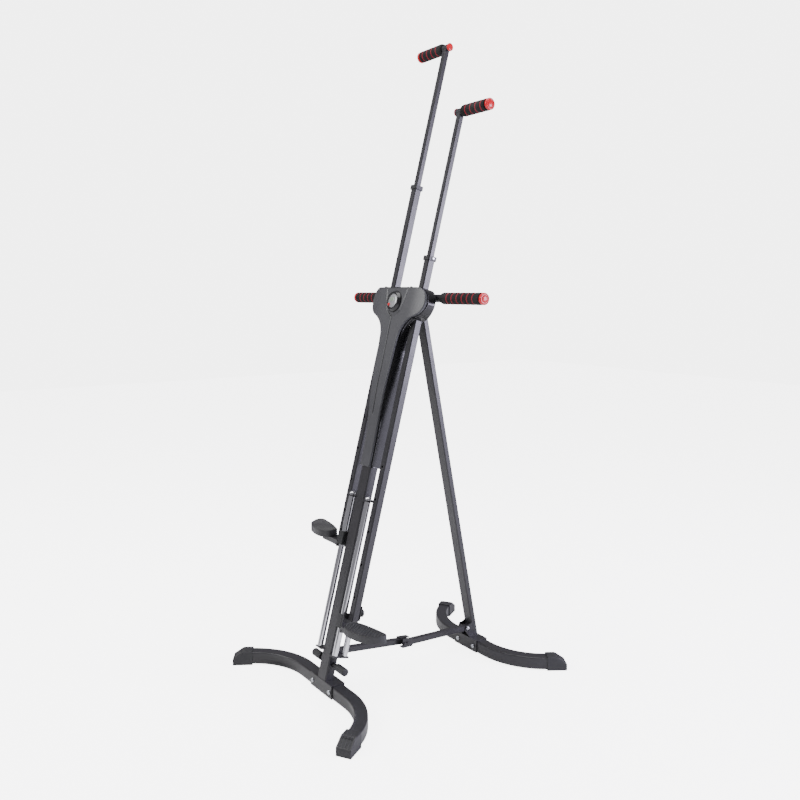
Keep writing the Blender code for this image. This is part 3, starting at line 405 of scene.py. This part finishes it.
def turned(name, profile, centre, axis, material, flutes=0, flute_depth=0.0, sharp=38,
           joined=False):
    """Turned piece: (radius, along) points swept round an axis; a joined profile is a ring.
    Flutes are a cosine round the piece, as a share of the radius."""
    axis = np.asarray(axis, float)
    side = np.cross(axis, across if abs(axis[0]) < 0.9 else up)
    side = side / np.linalg.norm(side)
    other = np.cross(axis, side)
    turn = np.linspace(0.0, 2 * pi, ROUND, endpoint=False)
    ring = np.cos(turn)[:, None] * side + np.sin(turn)[:, None] * other
    ring = ring * (1 + flute_depth * np.cos(flutes * turn))[:, None]
    profile = np.asarray(profile, float)
    grid = (np.asarray(centre) + profile[:, 1, None, None] * axis + profile[:, 0, None, None] * ring)
    return surface(name, grid, material, joined, sharp)


# hard chrome on ground bar: a mirror with a faint waviness 2 mm wide
chrome = skin_material("hard_chromed_steel", "#d9d9dc", 0.07, 0.0020, 0.000002, 0.05, Metallic=1.0)
# zinc plate, passivated: duller and slightly blue, with a cloudy bloom about a centimetre wide
zinc = skin_material("zinc_plated_steel", "#b9bbc0", 0.27, 0.0012, 0.00001, 0.12, Metallic=1.0)

for hand in ("left", "right"):
    for face in ("front", "rear"):
        node = f"{hand}_{face}_rod"
        low, high = lean_span(node)
        middle = (low + high) / 2
        nut = high[0] - middle[0]
        seat = high[2] - NUT_SEAT
        profile = [(0.0, low[2]), (ROD_RADIUS - 0.0008, low[2]), (ROD_RADIUS, low[2] + 0.0008),
                   (ROD_RADIUS, seat - 0.0046), (NECK_RADIUS, seat - 0.0046), (NECK_RADIUS, seat),
                   (nut, seat), (nut, seat + 0.0042)]
        dome = np.linspace(0.0, pi / 2, 9)
        dome = np.stack([nut * np.cos(dome), seat + 0.0045 + 0.007 * np.sin(dome)], 1)
        rod = turned(node + "_ground", np.concatenate([profile, dome]),
                     leaning(middle[0], middle[1], 0.0), up, chrome)
        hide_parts(node)
        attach(rod, "frame")


# ------------------------------------------------------------------ bumper sleeves
# Two rubber sleeves pushed on the cross bar low on the column; the slider brackets land on
# them at the bottom of the stroke.
SLEEVE_BORE = 0.0074

for hand, side in (("left", -1), ("right", 1)):
    node = f"bumper_{hand}"
    low, high = lean_span(node)
    inner, outer = sorted((abs(low[0]), abs(high[0])))
    radius = (high[2] - low[2]) / 2
    profile = soften([(0.0, outer - 0.004), (SLEEVE_BORE, outer - 0.004), (SLEEVE_BORE, inner),
                      (radius - 0.0008, inner), (radius, inner + 0.002), (radius, outer - 0.003),
                      (radius - 0.003, outer), (0.0, outer)], 0.0016, 5, closed=False)
    sleeve = turned(node + "_sleeve", profile,
                    leaning(0.0, (low[1] + high[1]) / 2, (low[2] + high[2]) / 2),
                    across * side, rubber)
    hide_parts(node)
    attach(sleeve, "frame")


# ------------------------------------------------------------------ sliders and pull knobs
# Nylon slider blocks run on the chromed rods. A spring pin with a moulded knob behind each arm
# fixes the pedal's height in the row of holes.
# glass-filled nylon: near black, a little waxy, with a fine 0.5 mm spark-eroded texture
nylon = skin_material("glass_filled_nylon", "#19191b", 0.44, 0.0005, 0.00004)
paint(nylon, "left_slider_block", "right_slider_block", "rope_pulley")
paint(zinc, "pulley_axle")

for hand in ("left", "right"):
    node = f"{hand}_pull_knob"
    low, high = lean_span(node)
    middle = (low + high) / 2
    radius = (high[0] - low[0]) / 2
    pin, knob_end = high[1], low[1]
    length = pin - knob_end
    profile = soften([(0.0, 0.0), (0.0036, 0.0), (0.0038, 0.0075), (0.006, 0.0075), (0.006, 0.0100),
                      (radius * 0.86, 0.0108), (radius * 0.95, 0.0125), (radius * 0.95, 0.0165),
                      (radius * 0.80, length - 0.0004), (0.0, length)], 0.0018, 5, closed=False)
    knob = turned(node + "_moulded", profile, leaning(middle[0], pin, middle[2]), -out, nylon,
                  flutes=8, flute_depth=0.045)
    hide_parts(node)
    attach(knob, f"{hand}_knob")


# ------------------------------------------------------------------ pedals
# Moulded plates with a pointed outer end, hooked inner edge and a tread of slanting ribs;
# each is screwed down on a steel channel.
PEDAL_OUTLINE = ((0.096, -0.044), (0.120, -0.062), (0.152, -0.062), (0.190, -0.054), (0.216, -0.040),
                 (0.237, -0.012), (0.241, 0.006), (0.230, 0.016), (0.190, 0.012), (0.140, 0.003),
                 (0.096, -0.010))
RIB_PITCH = 0.0095
RIB_HEIGHT = 0.0018
RIB_SLANT = radians(38)
PEDAL_MIDDLE = (0.170, -0.024)
PEDAL_CORNER = 0.009
TREAD_SHARE = 0.935             # the ribs stop this far out from the middle

# polypropylene: satin charcoal, the tread's edges rubbed paler by shoes, 0.7 mm leather grain
pedal_plastic = skin_material("moulded_polypropylene", "#2b2b2d", 0.50, 0.0007, 0.00006, 0.18)


def pedal(node, side):
    """The outline, rounded, is drawn towards its centre in rings: under side, wall with a
    rounded lip, then a tread whose height is a clipped cosine across the slanting ribs."""
    low, high = (np.array(corner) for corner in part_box(node))
    given = np.array(PEDAL_OUTLINE)
    outline = soften(given, PEDAL_CORNER, 12)
    wrapped = np.vstack([outline, outline[:1]])
    run = np.concatenate([[0.0], np.cumsum(np.linalg.norm(np.diff(wrapped, axis=0), axis=1))])
    even = np.linspace(0.0, run[-1], 420, endpoint=False)
    outline = np.stack([np.interp(even, run, wrapped[:, 0]), np.interp(even, run, wrapped[:, 1])], 1)
    centre = np.array(PEDAL_MIDDLE)
    top = high[2] - low[2]
    share = np.concatenate([[0.0, 0.5, 0.985, 1.0], np.ones(6), [0.995, 0.985, 0.972, 0.955],
                            np.linspace(0.95, 0.0, 90)])
    level = np.concatenate([[0.0, 0.0, 0.0, 0.0012], np.linspace(0.002, top - 0.003, 6),
                            [top - 0.0012, top - 0.0004, top - 0.0004, top - 0.0012],
                            np.full(90, top - RIB_HEIGHT - 0.0002)])
    flat = centre + share[:, None, None] * (outline - centre)
    across_rib = flat[..., 0] * cos(RIB_SLANT) + flat[..., 1] * sin(RIB_SLANT)
    wave = np.clip(1.6 * np.cos(2 * pi * across_rib / RIB_PITCH) + 0.6, 0, 1)
    tread = np.clip((TREAD_SHARE - share) / 0.02, 0, 1)[:, None] * (np.arange(len(share)) > 13)[:, None]
    height = level[:, None] + RIB_HEIGHT * wave * tread
    y0 = high[1] - given[:, 1].max()
    grid = np.stack([side * flat[..., 0], y0 + flat[..., 1], low[2] + height], -1)
    return surface(node + "_moulded", grid, pedal_plastic, sharp=32)


for hand, side in (("left", -1), ("right", 1)):
    node = f"{hand}_pedal"
    plate = pedal(node, side)
    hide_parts(node)
    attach(plate, f"{hand}_arm")


# ------------------------------------------------------------------ collars and lock buttons
# A moulded collar closes the top of each outer arm tube round the sliding inner tube. The
# spring button on its outer side locks the handle's height.
for hand, side in (("left", -1), ("right", 1)):
    paint(nylon, f"{hand}_collar")
    node = f"{hand}_lock_button"
    low, high = lean_span(node)
    middle = (low + high) / 2
    radius = (high[2] - low[2]) / 2
    start = low[0] if side > 0 else high[0]
    profile = soften([(0.0, 0.0), (radius, 0.0), (radius, 0.0036), (radius * 0.7, 0.0049),
                      (0.0, 0.0050)], 0.0012, 5, closed=False)
    button = turned(node + "_domed", profile, leaning(start, middle[1], middle[2]),
                    across * side, zinc)
    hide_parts(node)
    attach(button, f"{hand}_lock")


# ------------------------------------------------------------------ foam grips
# Sleeves of black closed-cell foam with thin red foam rings let into them, pushed on the bars.
# They are soft: the ends are rounded over and each ring sits in a shallow dip.
RING_PITCH = 0.0235
RING_WIDTH = 0.0042
DIP = 0.0007
FOAM_WALL = 0.0055
INNER_ROUNDING = 0.010          # how far the end next to the bar is rounded over
OUTER_ROUNDING = 0.003
RINGS_OFF_MIDDLE = 0.004        # the rings sit this far towards the outer end


def overlay(material, attribute, colour):
    """A second colour laid over the first where the piece's own attribute says 1."""
    tree = material.node_tree
    base = tree.nodes["Principled BSDF"].inputs["Base Color"]
    under = base.links[0].from_socket
    mask = add(tree, "Attribute", attribute_name=attribute)
    mixed = add(tree, "Mix", {"Factor": mask.outputs["Fac"]}, data_type="RGBA")
    tree.links.new(under, mixed.inputs[6])
    mixed.inputs[7].default_value = linear(colour)
    tree.links.new(mixed.outputs[2], base)


# nitrile foam: matt, 1.2 mm cells that show as a soft pitted skin, with rings dyed dark red
foam = skin_material("closed_cell_foam", "#060606", 0.92, 0.0012, 0.00030, 0.2)
overlay(foam, "ring", "#7d0c1f")


def foam_sleeve(node, side, rings):
    """A long turned sleeve. Its radius dips by a bell curve at each ring, and the ring
    attribute is a soft-edged window of the distance to the nearest ring."""
    low, high = lean_span(node)
    start, end = sorted((abs(low[0]), abs(high[0])))
    radius = (high[2] - low[2]) / 2
    bore = radius - FOAM_WALL
    length = end - start
    rings_middle = (start + end) / 2 + RINGS_OFF_MIDDLE
    turn = np.linspace(0.0, pi / 2, 9)
    along = np.concatenate([start + INNER_ROUNDING * (1 - np.cos(turn)),
                            np.linspace(start + INNER_ROUNDING + 0.0005, end - OUTER_ROUNDING - 0.0005, 220),
                            end - OUTER_ROUNDING + OUTER_ROUNDING * np.sin(turn)])
    outer = np.concatenate([radius - 0.0045 * (1 - np.sin(turn)), np.full(220, radius),
                            radius - OUTER_ROUNDING * (1 - np.cos(turn))])
    places = rings_middle + (np.arange(rings) - (rings - 1) / 2) * RING_PITCH
    away = np.abs(along[:, None] - places).min(axis=1)
    outer = outer - DIP * np.exp(-(away / RING_WIDTH) ** 2)
    profile = np.stack([np.concatenate([[bore], outer, [bore]]),
                        np.concatenate([[start], along, [end]])], 1)
    profile = np.concatenate([[(0.0, start + length * 0.4)], profile, [(0.0, start + length * 0.6)]])
    piece = turned(node + "_foam", profile,
                   leaning(0.0, (low[1] + high[1]) / 2, (low[2] + high[2]) / 2),
                   across * side, foam, sharp=60)
    mesh = piece.data
    points = np.empty(len(mesh.vertices) * 3, np.float32)
    mesh.vertices.foreach_get("co", points)
    distance = np.abs(np.abs(points[::3])[:, None] - places).min(axis=1)
    mask = np.clip((RING_WIDTH / 2 - distance) / 0.0006 + 0.5, 0, 1)
    mesh.attributes.new("ring", "FLOAT", "POINT").data.foreach_set("value", mask.astype(np.float32))
    return piece


# ABS, injection moulded and polished: clear bright red with a sharp highlight
red_plastic = skin_material("polished_red_abs", "#c40f1e", 0.26, 0.003, 0.000004, 0.06)

PLUG_SHARE = 0.93                # the plug stands just inside the foam's outer edge


def end_plug(node, side, body):
    """Turned plug: a rim, a groove and a domed middle, with a stub that goes into the bar."""
    low, high = lean_span(node)
    start, end = (low[0], high[0]) if side > 0 else (-high[0], -low[0])
    radius = PLUG_SHARE * (high[2] - low[2]) / 2
    face = end - 0.0012
    dome = np.linspace(0.0, pi / 2, 10)
    middle = np.stack([radius * 0.62 * np.cos(dome), face - 0.0014 + 0.0026 * np.sin(dome)], 1)
    stub = radius * 0.44
    back = end - (0.0105 if radius > 0.015 else 0.0055)
    edge = soften([(stub, start), (stub, back), (radius - 0.0012, back), (radius, back + 0.0018),
                   (radius, face - 0.0022), (radius - 0.0022, face), (radius * 0.74, face),
                   (radius * 0.67, face - 0.0014)], 0.0012, 4, closed=False)
    profile = np.concatenate([[(0.0, start)], edge, middle])
    plug = turned(node + "_polished", profile,
                  leaning(0.0, (low[1] + high[1]) / 2, (low[2] + high[2]) / 2),
                  across * side, red_plastic)
    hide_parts(node)
    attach(plug, body)


for hand, side in (("left", -1), ("right", 1)):
    for node, rings, body in ((f"{hand}_hand_grip", 4, f"{hand}_handle"),
                              (f"bar_grip_{hand}", 6, "frame")):
        grip = foam_sleeve(node, side, rings)
        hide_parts(node)
        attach(grip, body)
    end_plug(f"{hand}_grip_cap", side, f"{hand}_handle")
    end_plug(f"bar_cap_{hand}", side, "frame")
    low, high = lean_span(f"{hand}_grip_plug")
    radius = (high[2] - low[2]) / 2
    inward = -side
    face, root = (low[0], high[0]) if inward < 0 else (high[0], low[0])
    length = abs(face - root)
    profile = soften([(0.0, 0.0), (0.0084, 0.0), (0.0084, length - 0.0053), (radius, length - 0.0053),
                      (radius, length - 0.0026), (radius * 0.7, length - 0.0004), (0.0, length)],
                     0.0014, 5, closed=False)
    plug = turned(f"{hand}_grip_plug_polished", profile,
                  leaning(root, (low[1] + high[1]) / 2, (low[2] + high[2]) / 2), across * inward,
                  red_plastic)
    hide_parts(f"{hand}_grip_plug")
    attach(plug, f"{hand}_handle")


# ------------------------------------------------------------------ fixed handlebar
# A 24 mm round steel tube across the back of the column, pushed through the hinge bracket and
# welded there, powder coated with the rest of the frame; its ends carry the two long grips.
low, high = lean_span("fixed_handlebar")
radius = (high[2] - low[2]) / 2
bore = radius - 0.002
profile = soften([(bore, low[0]), (radius, low[0]), (radius, high[0]), (bore, high[0])], 0.0006, 4)
bar = turned("fixed_handlebar_tube", profile,
             leaning(0.0, (low[1] + high[1]) / 2, (low[2] + high[2]) / 2),
             across, powder_coat, joined=True)
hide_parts("fixed_handlebar")
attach(bar, "frame")


# ------------------------------------------------------------------ covers
# Two moulded covers clip together round the column: a front one with a crowned face and a
# creased shield in its head, and a deeper rear one that the arms slide through. The neck
# widens upwards, flares out, and ends in a head with round ends and a flat top.
COVER_WALL = 0.0025
FRONT_DEPTH = 0.009
LIP_LOW = 0.0034
LIP_HIGH = 0.0016
FACE_LOW = 0.028
FACE_HIGH = 0.0415
FACE_LOBE = 0.032
NECK_LOW = 0.024
NECK_HIGH = 0.043
NECK_TOP = 1.075
LOBE_V = 1.222
LOBE_RADIUS = 0.043
SLOT_HALF_WIDTH = 0.0147
SLOT_HALF_DEPTH = 0.0139
NOTCH_HALF_WIDTH = 0.0245
CREASE_STEM = ((-0.004, 0.868), (0.0, 1.02), (-0.004, 1.172))
CREASE_LEFT = ((-0.004, 1.172), (-0.021, 1.182), (-0.034, 1.192), (-0.046, 1.226), (-0.057, 1.266))
CREASE_RIGHT = ((-0.004, 1.172), (0.021, 1.182), (0.034, 1.192), (0.046, 1.226), (0.057, 1.266))
CREASE_WIDTH = 0.0016
CREASE_DEPTH = 0.0020
SHIELD_RISE = 0.0009
ROLL = 0.0028                   # radius of the front cover's edge
FACE_COLUMNS = 144              # grid columns between the two rolled edges
BACK_ROLL = 0.004               # radius of the rear cover's back edge

# ABS with a spark-eroded texture: satin mid grey-black, 0.8 mm grain that softens highlights
cover_plastic = skin_material("textured_abs", "#3d3d40", 0.40, 0.0008, 0.00005, 0.06)
# painted shade: the face is coloured near black along the stem and the left crease, standing in for the
# shade that falls in the groove
overlay(cover_plastic, "painted_crease_shade", "#050506")
# the same resin polished and darker for the rear cover, which mirrors the studio along its flank
rear_plastic = skin_material("polished_black_abs", "#151517", 0.24, 0.0016, 0.00002, 0.10)


def smooth_step(t):
    t = np.clip(t, 0.0, 1.0)
    return t * t * (3 - 2 * t)


def cover_outline(top):
    """Height and half width up a cover: an eased taper, a quadratic flare, an arc, a flat top."""
    t = np.linspace(0.0, 1.0, 60)
    taper = np.stack([0.760 + (NECK_TOP - 0.760) * t,
                      0.0252 + (NECK_HIGH - 0.0252) * smooth_step(t * 0.9) / smooth_step(0.9)], 1)
    start, corner, end = np.array(((1.100, NECK_HIGH + 0.003), (1.160, 0.048), (1.178, 0.106)))
    t = t[:, None]
    flare = start * (1 - t) ** 2 + corner * 2 * t * (1 - t) + end * t * t
    turn = np.linspace(radians(-68), radians(80), 60)
    lobe_x = cover_half - LOBE_RADIUS
    lobe = np.stack([LOBE_V + (LOBE_RADIUS + 0.0005) * np.sin(turn),
                     lobe_x + LOBE_RADIUS * np.cos(turn)], 1)
    foot_end = [(cover_low, NECK_LOW), (cover_low + 0.003, NECK_LOW + 0.0008)]
    points = np.concatenate([foot_end, taper, flare, lobe, [(top, lobe_x + 0.0065)]])
    points[:, 0] = np.maximum.accumulate(points[:, 0])
    return points


def spaced(points, step):
    """The same line with stations about `step` apart, by distance along it."""
    run = np.concatenate([[0.0], np.cumsum(np.linalg.norm(np.diff(points, axis=0), axis=1))])
    even = np.linspace(0.0, run[-1], int(run[-1] / step) + 2)
    return np.stack([np.interp(even, run, points[:, axis]) for axis in range(points.shape[1])], 1)


def face_at(x, v):
    """n of the crowned face: it comes forward up the neck and falls back at the lobes."""
    rise = FACE_LOW + (FACE_HIGH - FACE_LOW) * smooth_step((v - 0.73) / 0.27)
    fall = np.maximum(np.abs(x) - 0.075, 0.0) / (cover_half - 0.075)
    return rise + (FACE_LOBE - FACE_HIGH) * fall ** 2


def distance_to(line, x, v):
    """Shortest distance from points to a line of straight pieces."""
    nearest = np.full(np.shape(x), 9.0)
    for (ax, av), (bx, bv) in zip(line, line[1:]):
        run = np.array((bx - ax, bv - av))
        t = np.clip(((x - ax) * run[0] + (v - av) * run[1]) / run.dot(run), 0, 1)
        nearest = np.minimum(nearest, np.hypot(x - ax - t * run[0], v - av - t * run[1]))
    return nearest


def tray(name, grid, faces, material):
    """Open moulding: the outer skin with its wall added inwards, as thick all over."""
    made = shell(name, grid, faces, material, closed=False)
    wall = made.modifiers.new("wall", "SOLIDIFY")
    wall.thickness = COVER_WALL
    wall.offset = -1.0
    edge = made.modifiers.new("edge", "BEVEL")
    edge.width = 0.0004
    edge.segments = 2
    edge.limit_method = "ANGLE"
    edge.angle_limit = radians(60)
    return made


def grid_faces(shape):
    number = np.arange(shape[0] * shape[1]).reshape(shape)
    return np.stack([number[:-1, :-1], number[:-1, 1:], number[1:, 1:], number[1:, :-1]], axis=-1)


front_low, front_high = lean_span("front_cover")
cover_low, cover_top, cover_half = front_low[2], front_high[2], front_high[0]

# front: rows climb the outline, columns cross from the left rim over the face to the right
# rim; both edges roll over by a quarter circle, and a groove follows the creases
quarter = np.linspace(0.0, pi / 2, 6)
outline = spaced(cover_outline(cover_top), 0.0026)
row_drop = np.concatenate([[FRONT_DEPTH], ROLL * (1 - np.sin(quarter)), np.zeros(len(outline) - 2),
                           ROLL * (1 - np.sin(quarter[::-1])), [FRONT_DEPTH]])
row_v = np.concatenate([[cover_low], cover_low + ROLL * (1 - np.cos(quarter)), outline[1:-1, 0],
                        cover_top - ROLL * (1 - np.cos(quarter[::-1])), [cover_top]])
row_half = np.interp(row_v, *outline.T)
row_half[-8:] = np.minimum(row_half[-8:], row_half[-9])
column_drop = np.concatenate([[FRONT_DEPTH], ROLL * (1 - np.sin(quarter)), np.zeros(FACE_COLUMNS),
                              ROLL * (1 - np.sin(quarter[::-1])), [FRONT_DEPTH]])
rolled_in = np.concatenate([[0.0], ROLL * (1 - np.cos(quarter)), np.full(FACE_COLUMNS, ROLL),
                            ROLL * (1 - np.cos(quarter[::-1])), [0.0]])
share = np.concatenate([np.full(7, -1.0), np.linspace(-1, 1, FACE_COLUMNS + 2)[1:-1], np.ones(7)])
x = share * (row_half[:, None] - rolled_in)
v = np.broadcast_to(row_v[:, None], x.shape)
face = face_at(x, v)
rim = face_at(row_half, row_v)[:, None] - FRONT_DEPTH
deep = np.minimum(distance_to(CREASE_STEM, x, v), distance_to(CREASE_LEFT, x, v))
groove = np.exp(-(deep / CREASE_WIDTH) ** 2) * (column_drop < 1e-6)
faint = np.exp(-(distance_to(CREASE_RIGHT, x, v) / (CREASE_WIDTH * 0.8)) ** 2)
branch_v, branch_x = np.array(CREASE_RIGHT)[:, 1], np.array(CREASE_RIGHT)[:, 0]
shield = smooth_step((np.interp(v, branch_v, branch_x) - np.abs(x)) / 0.003) * (v > branch_v[0])
n = face - CREASE_DEPTH * groove - 0.45 * CREASE_DEPTH * faint
n = n + SHIELD_RISE * (shield - 1)
n = np.maximum(n - row_drop[:, None] - column_drop, rim)
front_cover = tray("front_cover_moulding", leaning(x, n, v), grid_faces(x.shape).reshape(-1, 4),
                   cover_plastic)
mesh = front_cover.data
points = np.empty(len(mesh.vertices) * 3, np.float32)
mesh.vertices.foreach_get("co", points)
measured = (points.reshape(-1, 3) - column_foot) @ np.stack([across, up], 1)
# painted shade mask: 1 along the middle of the stem and left crease grooves, fading to 0 about one and
# two-thirds groove widths away; it darkens the colour there in place of the shade in the groove
gap = np.minimum(distance_to(CREASE_STEM, *measured.T), distance_to(CREASE_LEFT, *measured.T))
painted_crease_shade = np.clip(1.25 - gap / CREASE_WIDTH * 0.75, 0, 1).astype(np.float32)
mesh.attributes.new("painted_crease_shade", "FLOAT", "POINT").data.foreach_set("value", painted_crease_shade)
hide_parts("front_cover")
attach(front_cover, "frame")

# rear: the same outline a lip wider, rows climbing it and then coming forward over the top;
# columns cross from the right rim round the back to the left rim. Faces inside the arms'
# slots and the hinge bracket's notch are left out, and grid lines lie along their edges.
rear_low, rear_high = lean_span("rear_cover")
rear_back, lobe_back = rear_low[1], -0.009
arm_x = float(np.mean([corner[0] for corner in lean_span("right_arm_tube")]))
slot_edges = (arm_x - SLOT_HALF_WIDTH, arm_x + SLOT_HALF_WIDTH)
notch_edges = (1.155, 1.2635)
outline = spaced(cover_outline(rear_high[2] - 0.0004), 0.0030)
wide = outline[:, 1] + LIP_LOW + (LIP_HIGH - LIP_LOW) * smooth_step((outline[:, 0] - 0.76) / 0.2)
widest = np.argmax(wide)
flare_levels = np.interp(slot_edges, wide[:widest], outline[:widest, 0])
levels = np.unique(np.concatenate([outline[:, 0], flare_levels, notch_edges]))
wide = np.interp(levels, outline[:, 0], wide)
flat_x = np.unique(np.concatenate([np.linspace(-0.136, 0.136, 81), slot_edges,
                                   np.negative(slot_edges),
                                   (-NOTCH_HALF_WIDTH, NOTCH_HALF_WIDTH)]))[::-1]


def back_at(x):
    """n of the rear cover's back: flat behind the neck, eased forward towards the lobes."""
    return rear_back + (lobe_back - rear_back) * smooth_step((np.abs(x) - 0.095) / (cover_half - 0.095))


def rear_section(half, height):
    """One level's section: flank from rim to back, quarter circle, back, and the mirror."""
    rim = face_at(max(half - LIP_HIGH, 0.0), height) - FRONT_DEPTH - 0.0012
    back = back_at(half)
    flank = np.array((rim, (rim + SLOT_HALF_DEPTH) / 2, SLOT_HALF_DEPTH, 0.0,
                      max(-SLOT_HALF_DEPTH, back + BACK_ROLL), back + BACK_ROLL))
    turn = np.linspace(0.0, pi / 2, 6)[1:]
    flat = np.clip(flat_x, BACK_ROLL - half, half - BACK_ROLL)
    flat_n = back_at(flat)
    roll_x = half - BACK_ROLL * (1 - np.cos(turn))
    roll_n = back + BACK_ROLL * (1 - np.sin(turn))
    x = np.concatenate([np.full(6, half), roll_x, flat, -roll_x[::-1], np.full(6, -half)])
    n = np.concatenate([flank, roll_n, flat_n, roll_n[::-1], flank[::-1]])
    return x, n


sections = [rear_section(half, height) for half, height in zip(wide, levels)]
x, n = (np.array([section[axis] for section in sections]) for axis in (0, 1))
v = np.broadcast_to(levels[:, None], x.shape)
lid = np.unique(np.concatenate([np.linspace(rear_back, n[-1].max(), 14),
                                (-SLOT_HALF_DEPTH, SLOT_HALF_DEPTH)]))
x = np.concatenate([x, np.broadcast_to(x[-1], (len(lid), x.shape[1]))])
n = np.concatenate([n, np.maximum(n[-1], lid[:, None])])
v = np.concatenate([v, np.full((len(lid), v.shape[1]), v[-1, 0])])
faces = grid_faces(x.shape)
middle_x, middle_n, middle_v = (axis.reshape(-1)[faces].mean(axis=-1) for axis in (x, n, v))
in_slot = (np.abs(np.abs(middle_x) - arm_x) < SLOT_HALF_WIDTH) & (np.abs(middle_n) < SLOT_HALF_DEPTH)
in_notch = ((np.abs(middle_x) < NOTCH_HALF_WIDTH) & (middle_n < rear_back + 0.002)
            & (middle_v > notch_edges[0]) & (middle_v < notch_edges[1]))
faces = faces[~(in_slot | in_notch)]
rear_cover = tray("rear_cover_moulding", leaning(x, n, v), faces, rear_plastic)
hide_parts("rear_cover")
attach(rear_cover, "frame")


# ------------------------------------------------------------------ console
# Round counter that clips on the front cover's head: a black bezel, a domed silver face with
# a small liquid crystal window, and one red button low on its left.
low, high = lean_span("console")
middle = (low + high) / 2
radius = (high[0] - low[0]) / 2
depth = high[1] - low[1]
dome = np.linspace(0.0, pi / 2, 12)
profile = soften([(0.0, 0.0), (radius, 0.0), (radius, 0.0030), (radius * 0.84, depth),
                  (radius * 0.71, depth), (radius * 0.67, depth - 0.0030), (0.0, depth - 0.0030)],
                 0.0016, 6, closed=False)
bezel = turned("console_bezel", profile, leaning(middle[0], low[1], middle[2]), out, rear_plastic)
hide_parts("console")
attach(bezel, "frame")

# lacquered silver ABS: fine metal flake under a clear gloss coat
silver = skin_material("silver_lacquered_abs", "#a9aaac", 0.28, 0.0008, 0.00001, 0.06, Metallic=0.6,
                       Coat_Weight=0.8, Coat_Roughness=0.06)
face_radius = radius * 0.655
crown = np.stack([face_radius * np.cos(dome), depth - 0.0028 + 0.0020 * np.sin(dome)], 1)
under = [(0.0, depth - 0.0036), (face_radius, depth - 0.0036)]
plate = turned("console_face", np.concatenate([under, crown]),
               leaning(middle[0], low[1], middle[2]), out, silver)
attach(plate, "frame")

# liquid crystal window: grey-green glass, very smooth
window_glass = skin_material("liquid_crystal_window", "#7f8a7c", 0.10, 0.004, 0.000005, 0.05,
                             Coat_Weight=0.6)
outline = soften(rectangle(0.0105, 0.0062), 0.0022, 6)
layers = np.array((0.0, 0.9, 1.0, 1.0, 0.9, 0.0))[:, None, None] * outline
heights = np.array((0.0, 0.0, 0.0004, 0.0022, 0.0026, 0.0026))[:, None] + depth - 0.0024
window = surface("console_window", leaning(middle[0] + layers[..., 0], low[1] + heights,
                                           middle[2] + 0.0045 + layers[..., 1]), window_glass)
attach(window, "frame")

low, high = lean_span("console_button")
middle = (low + high) / 2
radius = (high[0] - low[0]) / 2
profile = np.stack([radius * np.cos(dome) ** 0.5, (high[1] - low[1]) * (0.55 + 0.45 * np.sin(dome))], 1)
button = turned("console_button_cap", np.concatenate([[(0.0, 0.0), (radius, 0.0)], profile]),
                leaning(middle[0], low[1], middle[2]), out, red_plastic)
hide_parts("console_button")
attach(button, "console_key")


# ------------------------------------------------------------------ bolts and pins
# Zinc-plated cross bolts with domed heads and domed nuts hold the feet, the hinge and the
# folding brace; each goes right through what it clamps.
def cross_bolt(node, body, shank, thick):
    """Turned bolt along its own longest axis: dome, shank, dome, both ends alike."""
    low, high = (np.array(corner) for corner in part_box(node))
    axis = np.eye(3)[np.argmax(high - low)]
    half = float((high - low).max()) / 2
    head = float(np.sort(high - low)[0]) / 2
    turn = np.linspace(0.0, pi / 2, 8)
    dome = np.stack([head * np.cos(turn), half - thick + 0.0012 + (thick - 0.0012) * np.sin(turn)], 1)
    right = np.concatenate([[(shank, 0.0), (shank, half - thick), (head, half - thick)], dome])
    left = right[::-1] * (1, -1)
    made = turned(node + "_plated", np.concatenate([left, right]), (low + high) / 2, axis, zinc)
    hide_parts(node)
    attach(made, body)


for word, body in (("front", "frame"), ("rear", "rear_leg")):
    for hand in ("left", "right"):
        cross_bolt(f"{word}_foot_bolt_{hand}", body, 0.004, 0.005)
cross_bolt("hinge_pin", "frame", 0.005, 0.005)
cross_bolt("brace_front_bolt", "frame", 0.004, 0.004)
cross_bolt("brace_rear_bolt", "rear_leg", 0.004, 0.004)
